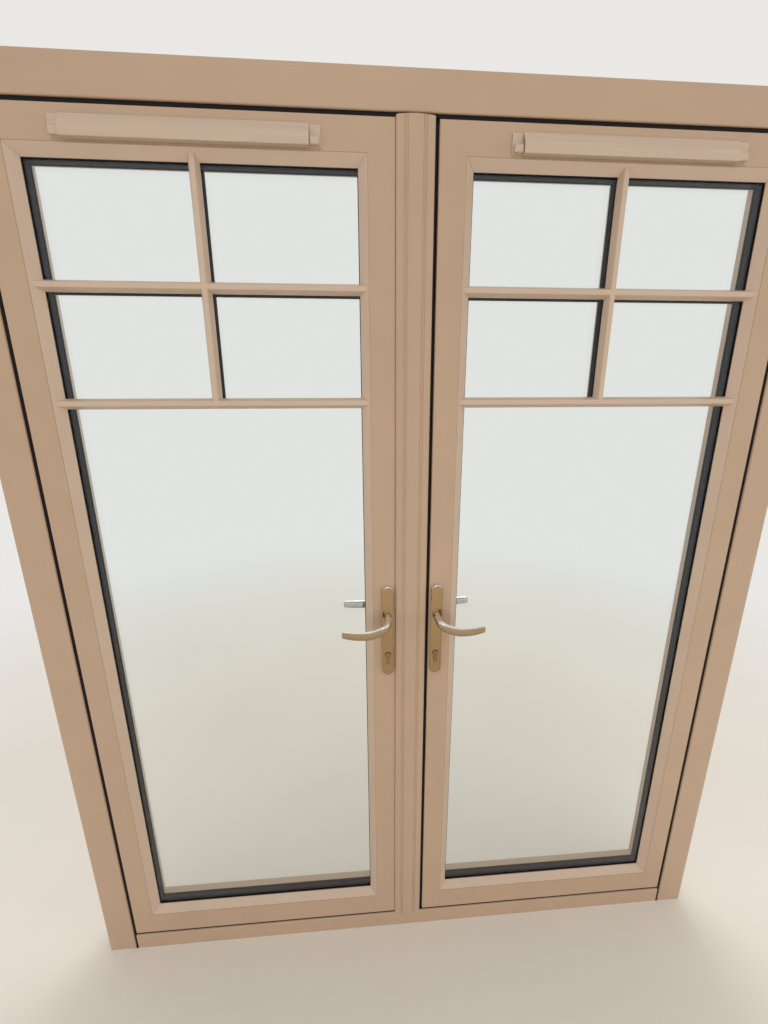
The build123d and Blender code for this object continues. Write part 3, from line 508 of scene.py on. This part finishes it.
# %% [markdown]
# ## Chrome
# The handles are cast, ground and chromed, so they mirror the room. What makes chrome believable is
# what spoils the mirror: a soft waviness left by polishing, finger marks that dull it in patches, and fine
# scratches. A bare mirror in a pale room looks like paper, so light is painted into the metal's colour: a
# darker, warmer painted reflection of a room on the room side, deepest on the plates, chrome's own cooler
# grey outside, and a painted highlight along every edge that faces up. The surface's own normal tells which
# way it faces, so the painted highlight turns with a lever.
# %% Polished metal
black = (0.0, 0.0, 0.0, 1.0)
# Painted highlight: the pale colour that the metal turns to where it faces up
painted_highlight = (0.86, 0.85, 0.83, 1.0)
# Painted reflection of a dark, warm room in the room side's chrome; outside, chrome's own grey
room_reflection_tone, weather_tone = (0.43, 0.32, 0.20, 1.0), (0.56, 0.57, 0.58, 1.0)
# Painted reflection, darker still, in the plates' colour
plate_reflection_tone = (0.42, 0.28, 0.145, 1.0)
# The lock's cylinder is nickel, darker than chrome and dulled more by hands and keys. Its dark, warm tone
# is a painted reflection of the room, and its lighter tone where it faces up is a painted highlight
nickel_reflection_tone, nickel_highlight_tone, nickel_smudge = (0.30, 0.22, 0.13, 1.0), (0.5, 0.47, 0.42, 1.0), 0.14
wave_size, mark_sizes, scratch_sizes = 16.0, (7.0, 7.0, 9.0), (0.35, 0.35, 14.0)
mark_range, mark_strength, scratch_range = (0.48, 0.75), 0.1, (0.62, 0.8)
# The metal's tone where the normal's upward share is below the first, the painted highlight above the second
highlight_shares = (0.1, 0.75)
# How high the waves and the scratches stand, as multiples of the polish's depth in mm
wave_height, scratch_height, polish_depth = 6.0, 0.2, 0.02


def polished(name, colour, highlight_tone=painted_highlight, smudge=0.1):
    """Chrome: its tone, with a painted highlight where it faces up; soft waves, finger marks, hair
    scratches.
    """
    material, start, place = new_material(name)
    wave = noise(place, wave_size, 2.0)
    mark = noise(place, mark_sizes, 5.0).rise(*mark_range)
    scratch = noise(place, scratch_sizes, 2.0).rise(*scratch_range)
    _, _, facing_up = parts_of(start.node("ShaderNodeTexCoord", output="Normal"))
    # Painted highlight: the colour turns from the metal's tone to the highlight as the surface faces up
    tone = facing_up.rise(*highlight_shares).between(colour, highlight_tone)
    tone = (mark * mark_strength).between(tone, black)
    inputs = {"Base Color": tone, "Metallic": 1.0, "Roughness": 0.05 + mark * smudge + scratch * 0.04}
    relief = bumped(wave * wave_height + scratch * scratch_height, polish_depth)
    surface_of(start, inputs | {"Normal": relief})
    return material


# The room side's levers and the plates carry a painted reflection in their colour, and all a painted
# highlight
inside_chrome_painted_reflection = polished("inside_chrome_painted_reflection", room_reflection_tone)
outside_chrome = polished("outside_chrome", weather_tone)
plate_chrome_painted_reflection = polished("plate_chrome_painted_reflection", plate_reflection_tone)
nickel = polished("satin_nickel", nickel_reflection_tone, nickel_highlight_tone, nickel_smudge)
print("chrome inside", room_reflection_tone[:3], "outside", weather_tone[:3], "and on the plates", plate_reflection_tone[:3])
# %% [markdown]
# ## Zinc
# The lock's steel, the bolts and most of the screws are zinc plated: greyer than chrome, brushed, with
# cloudy patches. The brushing could be an anisotropic gloss, but fine stretched noise in the relief shows
# as much on pieces this small.
# %% Plated steel
zinc_tone = (0.56, 0.55, 0.53, 1.0)
cloud_size, cloud_range, cloud_spread = 11.0, (0.3, 0.75), (0.86, 1.0)
brush_sizes, brush_depth = (0.5, 0.5, 30.0), 0.015


def plated(name, colour):
    """Zinc plate: metal, brushed along Z, with cloudy patches."""
    material, start, place = new_material(name)
    cloud = noise(place, cloud_size, 4.0)
    brush = noise(place, brush_sizes)
    tone = varied(cloud.rise(*cloud_range), colour, *cloud_spread)
    inputs = {"Base Color": tone, "Metallic": 1.0, "Roughness": 0.28 + cloud * 0.2}
    surface_of(start, inputs | {"Normal": bumped(brush, brush_depth)})
    return material


zinc = plated("zinc_plate", zinc_tone)
print("zinc", zinc_tone[:3])
# %% [markdown]
# ## Dressing the solids
# A solid arrives with one plain finish. Each now gets the one that its real piece has. This could be
# asked of each solid in turn, but a table from finish to names reads like a parts list, and what it
# leaves out is easily found.
# %% Which finish goes where
def side_names(*words):
    """The names of both leaves' pieces that end in these words."""
    return [side + word for side in ("left_", "right_") for word in words]


finishes = {
    frame_upright: ["frame_jamb_left", "frame_jamb_right"],
    frame_level: ["frame_head", "frame_threshold"],
    leaf_upright: side_names("meeting_stile", "hinge_stile"),
    leaf_level: side_names("top_rail", "bottom_rail"),
    mullion_cream: ["mullion"],
    bead_cream: side_names("beads"),
    bar_cream: side_names("inside_bars", "outside_bars"),
    hinge_paint: ["frame_hinge_leaves"] + side_names("hinge_leaves"),
    vent_plastic: side_names("vent_body", "vent_flap", "vent_hood"),
    black_rubber: ["frame_seal", "mullion_seal"] + side_names("glazing_gaskets"),
    black_spacer: side_names("spacer"),
    clear_glass: side_names("inner_pane", "outer_pane"),
    inside_chrome_painted_reflection: side_names("inside_lever"),
    outside_chrome: side_names("outside_lever"),
    plate_chrome_painted_reflection: side_names("inside_plate", "outside_plate"),
    nickel: side_names("cylinder"),
    zinc: ["hinge_pins", "mullion_keeps", "shoot_bolt_keeps", "left_top_bolt", "left_bottom_bolt"]
    + ["right_deadbolts", "right_latch"] + side_names("lock", "spindle"),
}
for material, names in finishes.items():
    for name in names:
        slots = nodes[name].data.materials
        slots.clear()
        slots.append(material)
bare = set(nodes) - {name for names in finishes.values() for name in names}
print("solids without a finish:", sorted(bare))
# %% [markdown]
# ## Meshes from arrays
# Every new piece is a surface worked out as a grid of points: rows along it, columns round it. One
# helper joins such grids into a mesh. Where a row has shrunk to a point, as at the tip of a lever, its
# points are merged and the empty triangles dropped, which closes the pole. Ready-made primitives could be
# bent into the same shapes, but a formula keeps every measure in view.
# %% From grids to a mesh
merge_digits = 7


def grid_faces(rows, columns, start):
    """Two triangles for each cell of a grid that closes round; its points are numbered from start on."""
    row, column = np.meshgrid(np.arange(rows - 1), np.arange(columns), indexing="ij")
    a = start + row * columns + column
    b = start + row * columns + (column + 1) % columns
    c, d = b + columns, a + columns
    return np.concatenate([np.stack([a, b, c], -1), np.stack([a, c, d], -1)]).reshape(-1, 3)


def piece(name, grids, material, crease=40.0):
    """A mesh from grids of points in mm, each of the shape (rows, columns, 3)."""
    points, faces, count = [], [], 0
    for grid in grids:
        rows, columns = grid.shape[:2]
        points.append(grid.reshape(-1, 3))
        faces.append(grid_faces(rows, columns, count))
        count += rows * columns
    points = np.concatenate(points) / millimetres
    faces = np.concatenate(faces)
    rounded = np.round(points, merge_digits)
    _, first, same = np.unique(rounded, axis=0, return_index=True, return_inverse=True)
    points, faces = points[first], same.reshape(-1)[faces]
    real = (faces[:, 0] != faces[:, 1]) & (faces[:, 1] != faces[:, 2]) & (faces[:, 0] != faces[:, 2])
    mesh = bpy.data.meshes.new(name)
    mesh.from_pydata(points.tolist(), [], faces[real].tolist())
    mesh.shade_smooth()
    mesh.set_sharp_from_angle(angle=np.radians(crease))
    mesh.materials.append(material)
    made = bpy.data.objects.new(name, mesh)
    bpy.context.scene.collection.objects.link(made)
    print(name, len(points), "points,", int(real.sum()), "triangles")
    return made


def mirrored(grid, axis):
    """The grid on the other side of a plane through the origin, its columns turned to keep faces outward."""
    flip = np.ones(3)
    flip[axis] = -1.0
    return (grid * flip)[:, ::-1]


print("a grid of 3 rows and 4 columns has", len(grid_faces(3, 4, 0)), "triangles")
# %% [markdown]
# ## The levers
# A lever leaves its plate as a round neck, turns through an elbow, sinks, and runs on as a flat blade that
# toes in and lifts at its tip. In the solids it is a chain of ovals. On the real one the blade has a
# crisp upper edge that catches the light, so here the same stations carry squarer sections, and a smooth
# curve through the stations replaces the chain. Subdividing a box would give the shape too, but not
# these stations.
# %% A smooth curve through stations
def through(stations, count):
    """Between two rows the curve is a cubic; its slope at a row is half the step between its neighbours."""
    ends = np.vstack([2 * stations[0] - stations[1], stations, 2 * stations[-1] - stations[-2]])
    t = np.linspace(0, len(stations) - 1, count)
    i = np.minimum(t.astype(int), len(stations) - 2)
    f = (t - i)[:, None]
    p0, p1, p2, p3 = (ends[i + k] for k in range(4))
    straight = 2 * p1 + (p2 - p0) * f
    return (straight + (2 * p0 - 5 * p1 + 4 * p2 - p3) * f**2 + (3 * p1 - p0 - 3 * p2 + p3) * f**3) / 2


def squarish(angle, power):
    """A superellipse, |x|^power + |y|^power = 1: at power 2 a circle, and squarer as the power grows."""
    c, s = np.cos(angle), np.sin(angle)
    return np.sign(c) * np.abs(c) ** (2 / power), np.sign(s) * np.abs(s) ** (2 / power)


for power in (2.0, 3.2):
    print("squareness", power, "reaches", round(float(squarish(np.pi / 4, power)[0]), 3), "at 45 degrees")
# %% [markdown]
# The stations are eleven rows of numbers, and the blade's are shares of the lever's own measures, so that a
# longer lever keeps its shape. They could follow a formula, but a handle is shaped a station at a time,
# and a table is easy to shape.
# %% The lever's stations
lever_reach, lever_out, lever_drop = 114.0, 51.5, 25.0
lever_thickness, lever_height = 9.0, 22.0
# In mm: along the reach, out of the plate, down, half the thickness, half the height; then squareness
neck_rows = np.array([[0, 1.0, 0, 9.3, 9.3, 2.0], [0, 8.0, 0, 9.3, 9.3, 2.0], [0, 14.0, 0, 9.2, 9.2, 2.0]])
# Shares of the reach, the way out, the drop, half the thickness and half the height; then squareness
blade_shares = np.array([
    [0.005, 0.50, 0.10, 1.86, 0.80, 2.1],
    [0.040, 0.79, 0.30, 1.76, 0.87, 2.3],
    [0.130, 0.96, 0.52, 1.36, 0.91, 2.6],
    [0.280, 0.985, 0.80, 1.08, 0.95, 2.9],
    [0.460, 0.985, 1.00, 0.98, 1.00, 3.2],
    [0.720, 0.965, 0.99, 0.92, 0.97, 3.2],
    [0.900, 0.925, 0.90, 0.85, 0.90, 3.0],
    [0.970, 0.905, 0.86, 0.78, 0.84, 2.7],
])
whole = np.array([lever_reach, lever_out, -lever_drop, lever_thickness / 2, lever_height / 2, 1.0])
lever_rows = np.vstack([neck_rows, blade_shares * whole])
print("a lever has", len(lever_rows), "stations")
# %% [markdown]
# Each section stands across the curve where it is. The tip could end flat, but the real one is rounded: its
# last rows shrink as the height of a quarter circle does, and close on the blade's middle.
# %% The lever's surface
tip_length, tip_rows = 3.4, 8


def lever_grid(rows=72, columns=40):
    """Points middle + side a c + over b s, with c and s of a superellipse; the tip shrinks as a circle."""
    line = through(lever_rows, rows)
    middle, half_thick, half_tall, power = line[:, :3], line[:, 3], line[:, 4], line[:, 5]
    run = np.gradient(middle, axis=0)
    run /= np.linalg.norm(run, axis=1, keepdims=True)
    side = np.cross([0, 0, 1.0], run)
    side /= np.linalg.norm(side, axis=1, keepdims=True)
    over = np.cross(run, side)
    angle = np.linspace(0, 2 * np.pi, columns, endpoint=False)
    c, s = squarish(angle[None, :], power[:, None])
    body = middle[:, None] + side[:, None] * (half_thick[:, None] * c)[..., None]
    body = body + over[:, None] * (half_tall[:, None] * s)[..., None]
    quarter = np.linspace(0, np.pi / 2, tip_rows + 1)[1:, None, None]
    tip = middle[-1] + (body[-1] - middle[-1]) * np.cos(quarter) + run[-1] * (tip_length * np.sin(quarter))
    foot = np.repeat(middle[:1, None], columns, axis=1)
    return np.concatenate([foot, body, tip])


one_lever = lever_grid()
print("lever reach", round(float(one_lever[..., 0].max()), 1), "mm")
# %% [markdown]
# One lever is worked out, with its spindle along Y at the origin. It is moved to its place outside on the
# right leaf, and its mirror image to the room side. The left leaf's two are the mirror images of those.
# Each lever rides on its handle's body, so it turns with the spindle, and stands for the plain solid.
# %% The four levers in place
handle_x, spindle_z, leaf_back = 61.0, 1087.0, 70.0
spots = {
    "right_outside": one_lever + [handle_x, leaf_back, spindle_z],
    "right_inside": mirrored(one_lever, 1) + [handle_x, 0, spindle_z],
}
spots["left_outside"] = mirrored(spots["right_outside"], 0)
spots["left_inside"] = mirrored(spots["right_inside"], 0)
for spot, grid in spots.items():
    lever = piece(spot + "_smooth_lever", [grid], outside_chrome if "outside" in spot else inside_chrome_painted_reflection)
    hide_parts(spot + "_lever")
    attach(lever, spot.split("_")[0] + "_handle")
# %% [markdown]
# ## Screws
# Screws hold the plates, the hinges, the lock's faceplate and the keeps. Each head is a shallow dome with a
# cross-shaped recess. A head could be cut with a Boolean, but there are more than sixty, so one grid of
# rings is used for all, its height lowered wherever a point falls inside the cross.
# %% Screw heads
# Shares of the radius: rings lie close together where an arm of the cross ends and where the head does
ring_shares = np.array([0, 0.14, 0.2, 0.42, 0.56, 0.64, 0.86, 0.97, 1.0, 1.0])[:, None]
arm_half_width, arm_length = 0.15, 0.6
dome_height, recess_depth, rim_depth = 0.35, 0.9, 0.6


def screw_head(radius, columns=32):
    """Rings of a shallow dome of height h (1 - r^2); inside the cross it falls by the recess's depth."""
    ring = ring_shares * radius
    angle = np.linspace(0, 2 * np.pi, columns, endpoint=False)[None, :]
    u, v = ring * np.cos(angle), ring * np.sin(angle)
    narrow = np.minimum(np.abs(u), np.abs(v)) < arm_half_width * radius
    cross = narrow & (np.hypot(u, v) < arm_length * radius)
    w = dome_height * (1 - (ring / radius) ** 2) - recess_depth * cross
    w[-1] = -rim_depth
    return np.stack([u, v, w], -1)


print("one head has", screw_head(1.0)[..., 0].size, "points")
# %% [markdown]
# A head is turned to the face that it sits in, and then about its own axis, each by a further step, as a
# hand driver leaves them. Heads of one place are one piece, which keeps the list of pieces short.
# %% Heads on a face
twist_step = 0.37


def turned(grid, normal, place, twist):
    """The grid with its w along the normal, at a place in mm, turned in its own plane by twist."""
    normal = np.array(normal, float)
    # Any direction that does not run along the normal will do to start from
    guide = np.array([0, 0, 1.0]) if abs(normal[2]) < 0.5 else np.array([1.0, 0, 0])
    first = np.cross(guide, normal)
    second = np.cross(normal, first)
    c, s = np.cos(twist), np.sin(twist)
    first, second = c * first + s * second, -s * first + c * second
    return grid @ np.stack([first, second, normal]) + np.array(place, float)


def screws(name, body, radius, places, normal, material):
    """Heads of one size, all facing the same way, as one piece that rides on a body."""
    head = screw_head(radius)
    heads = [turned(head, normal, place, twist_step * i) for i, place in enumerate(places)]
    made = piece(name, heads, material, crease=30.0)
    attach(made, body)


print("each head is turned on by", round(float(np.degrees(twist_step))), "degrees")
# %% [markdown]
# The places follow the solids. Each handle plate on the room side has two screws, and each half of a hinge
# has three. On the leaf's half the outer two are set in from the middle one. They could be found by
# searching the solids' meshes for holes, but a few named measures are easier to read and to change.
# %% Screws of the handle plates and hinges
sides = (("left", -1), ("right", 1))
to_room, to_weather = (0, -1, 0), (0, 1, 0)
plate_radius, hinge_radius = 3.6, 4.2
plate_face, plate_screw_heights = -7.7, (1148.0, 935.0)
for side, sign in sides:
    places = [(sign * handle_x, plate_face, z) for z in plate_screw_heights]
    screws(side + "_plate_screws", side + "_leaf", plate_radius, places, to_room,
           plate_chrome_painted_reflection)
hinge_heights = (250.0, 1100.0, 1950.0)
# Height from a hinge's middle, and how far the leaf's screw there is set in
hinge_steps = ((-36.0, 12.0), (0.0, 0.0), (36.0, 12.0))
hinge_rows = [(height + step, inset) for height in hinge_heights for step, inset in hinge_steps]
leaf_screw_x, leaf_screw_y = 804.0, 74.8
frame_screw_x, frame_screw_y = 875.0, 72.8
for side, sign in sides:
    places = [(sign * (leaf_screw_x - inset), leaf_screw_y, z) for z, inset in hinge_rows]
    screws(side + "_hinge_screws", side + "_leaf", hinge_radius, places, to_weather, zinc)
places = [(sign * frame_screw_x, frame_screw_y, z) for sign in (-1, 1) for z, _ in hinge_rows]
screws("frame_hinge_screws", "frame", hinge_radius, places, to_weather, zinc)
# %% [markdown]
# The lock's faceplate runs the full height of a leaf's edge and has seven screws. Each of the four keeps in
# the meeting post has one screw above its opening and one below. All of them face along X, and they show
# only when a leaf is open.
# %% Screws of the locks and keeps
faceplate_radius, keep_radius = 3.0, 2.4
lock_y, faceplate_x = 40.0, 42.5
faceplate_heights = (130.0, 420.0, 760.0, 1240.0, 1500.0, 1800.0, 2080.0)
for side, sign in sides:
    places = [(sign * faceplate_x, lock_y, z) for z in faceplate_heights]
    screws(side + "_faceplate_screws", side + "_leaf", faceplate_radius, places, (-sign, 0, 0),
           zinc)
keep_face = 34.5
# The height of each keep's middle, and how far its two screws stand above and below it
keep_rows = [(394.0, 23.0), (1045.0, 23.0), (1150.0, 15.0), (1807.0, 23.0)]
places = [(keep_face, lock_y, z + step * end) for z, step in keep_rows for end in (-1, 1)]
screws("mullion_keep_screws", "left_leaf", keep_radius, places, (1, 0, 0), zinc)
# %% [markdown]
# ## The soft lip of the mullion
# A narrow slit stays between the mullion's seal and the right leaf, because the solids of two moving
# pieces must not touch. On the real doors a thin rubber lip leans across it, and runs on past both ends of
# the seal. It is a small curved blade, carried straight up the post: a profile along a path. A box would
# close the slit as well, but its square edge would catch the light.
# %% Lip
lip_from, lip_to = 34.8, 42.4
lip_low, lip_high = 72.5, 2125.5
lip_front, lip_bend = 7.0, 2.6
lip_root_half, lip_thinning = 0.45, 0.2


def lip_profile(columns=14):
    """A blade 0.9 mm thick at its root that bends back, y = 7 + 2.6 s^2, and thins as s goes from 0 to 1."""
    s = np.linspace(0, 1, columns // 2)
    x = lip_from + (lip_to - lip_from) * s
    y = lip_front + lip_bend * s**2
    half = lip_root_half - lip_thinning * s
    front, back = np.stack([x, y - half], -1), np.stack([x, y + half], -1)[::-1]
    return np.concatenate([front, back])


outline = lip_profile()
heights = np.array([lip_low, lip_low, lip_high, lip_high])
# 0 draws the outline together to its middle, which closes the ends
opened = np.array([0.0, 1.0, 1.0, 0.0])[:, None, None]
centre = outline.mean(0)
section = centre + (outline[None] - centre) * opened
lip_grid = np.concatenate([section, np.broadcast_to(heights[:, None, None], section.shape[:2] + (1,))], -1)
lip = piece("mullion_lip", [lip_grid], black_rubber)
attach(lip, "left_leaf")
# %% [markdown]
# ## What is seen and what lights
# The background should be pale, and the light on the doors plain. More light would do both at once, but it
# would bleach the cream. Instead, the rays that reach the camera straight, or by way of metal and glass,
# are told apart from those that light things, and only the first kind sees the backdrop's own colour.
# %% Rays that are seen
backdrop = (0.82, 0.81, 0.79, 1.0)


def seen_directly(start):
    """1 for what the camera sees, straight or in metal and through glass, and 0 for light on things."""
    camera_ray = start.node("ShaderNodeLightPath", output="Is Camera Ray")
    seen = camera_ray + camera_ray.other("Is Glossy Ray") + camera_ray.other("Is Transmission Ray")
    return seen.least(1.0)


print("backdrop", backdrop[:3])
# %% [markdown]
# ## The floor
# The doors stand on a plain pale floor that runs out of sight. The frame's foot is sunk, so the floor's
# level is 20 mm up the frame. A flat square would do, but its corners show from above, so it is a disc,
# with small cells near the doors. Far out it turns into the backdrop, so that no horizon shows, while for
# light on the doors it stays a floor.
# %% Floor
floor_level, floor_radius = 20.0, 30000.0
fade_distances = (1300.0, 4200.0)
floor_dark, floor_light = (0.73, 0.68, 0.61, 1.0), (0.78, 0.73, 0.66, 1.0)
floor_cloud_size, grit_size, grit_depth = 700.0, 2.0, 0.02


def disc(radius, rings=12, columns=96):
    """A flat disc: rings whose radius grows as a square does, to keep the cells small near the doors."""
    r = radius * np.linspace(0, 1, rings)[:, None] ** 2
    angle = np.linspace(0, 2 * np.pi, columns, endpoint=False)[None, :]
    x, y = r * np.cos(angle), r * np.sin(angle)
    return np.stack([x, y, np.zeros_like(x)], -1)


material, start, place = new_material("pale_floor")
cloud = noise(place, floor_cloud_size, 4.0)
grit = noise(place, grit_size, 2.0)
tone = (cloud * 0.7 + grit * 0.3).rise(*nearly_all).between(floor_dark, floor_light)
inputs = {"Base Color": tone, "Roughness": 0.55 + grit * 0.2, "Normal": bumped(grit, grit_depth)}
near = start.node("ShaderNodeBsdfPrincipled", {}, inputs)
far = start.node("ShaderNodeEmission", {}, {"Color": backdrop, "Strength": 1.0})
away = place.node("ShaderNodeVectorMath", {"operation": "LENGTH"}, {0: place}, "Value").rise(*fade_distances)
floor_face = start.node("ShaderNodeMixShader", {}, {0: away * seen_directly(start), 1: near, 2: far})
start.node("ShaderNodeOutputMaterial", {}, {"Surface": floor_face})
floor = piece("floor", [disc(floor_radius) + [0, 0, floor_level]], material)
# %% [markdown]
# ## The world
# The world is a soft, even white. What is seen of it is a little brighter than what it gives, so that the
# lamps keep some shape on the mouldings. A picture of a real room could light the doors too, but the metal
# would mirror it.
# %% World
world = bpy.data.worlds.new("studio")
bpy.context.scene.world = world
world.use_nodes = True
world.node_tree.nodes.clear()
air = Wire(world.node_tree)
world_light = (0.80, 0.78, 0.75, 1.0)
colour = seen_directly(air).between(world_light, backdrop)
even_light = air.node("ShaderNodeBackground", {}, {"Color": colour, "Strength": 1.0})
air.node("ShaderNodeOutputWorld", {}, {"Surface": even_light})
print("world lights at", world_light[0], "and is seen at", backdrop[0])
# %% [markdown]
# ## The lamps
# Glass mirrors whatever stands in front of it. One soft lamp therefore hangs above what the panes can
# reflect into the camera, and two at the sides and a broad low one in front fill the shadows without being
# mirrored. A cooler lamp high outside lights the weather face, as daylight does, and gives the outside
# levers their highlight. One strong lamp would be simpler, but it would draw hard shadows under the bars.
# %% Lamps
lamp_aim = Vector((0.0, 0.0, 1.1))
# Name, place in metres, side of the square, watts, tint, and whether metal and glass mirror it
lamp_rows = [
    ("key_lamp", (-0.5, -2.5, 5.0), 1.9, 8.0, (0.94, 0.97, 1.0), True),
    ("left_lamp", (-3.6, -1.6, 1.2), 1.6, 8.0, (1.0, 0.97, 0.92), False),
    ("right_lamp", (3.8, -1.6, 1.2), 1.6, 14.0, (1.0, 0.97, 0.92), False),
    ("front_lamp", (0.3, -3.4, 0.7), 2.8, 30.0, (1.0, 0.98, 0.95), False),
    ("outside_lamp", (0.4, 1.9, 5.0), 2.0, 60.0, (0.93, 0.97, 1.0), True),
]


def lamp(name, place, size, watts, tint, in_mirrors):
    """A square soft lamp that faces the doors and is not itself seen, also not through glass."""
    data = bpy.data.lights.new(name, "AREA")
    data.shape = "SQUARE"
    data.size = size
    data.energy = watts
    data.color = tint
    made = bpy.data.objects.new(name, data)
    made.location = place
    made.rotation_euler = (lamp_aim - Vector(place)).to_track_quat("-Z", "Y").to_euler()
    made.visible_camera = False
    made.visible_transmission = False
    made.visible_glossy = in_mirrors
    bpy.context.scene.collection.objects.link(made)


for row in lamp_rows:
    lamp(*row)
print(len(lamp_rows), "lamps")
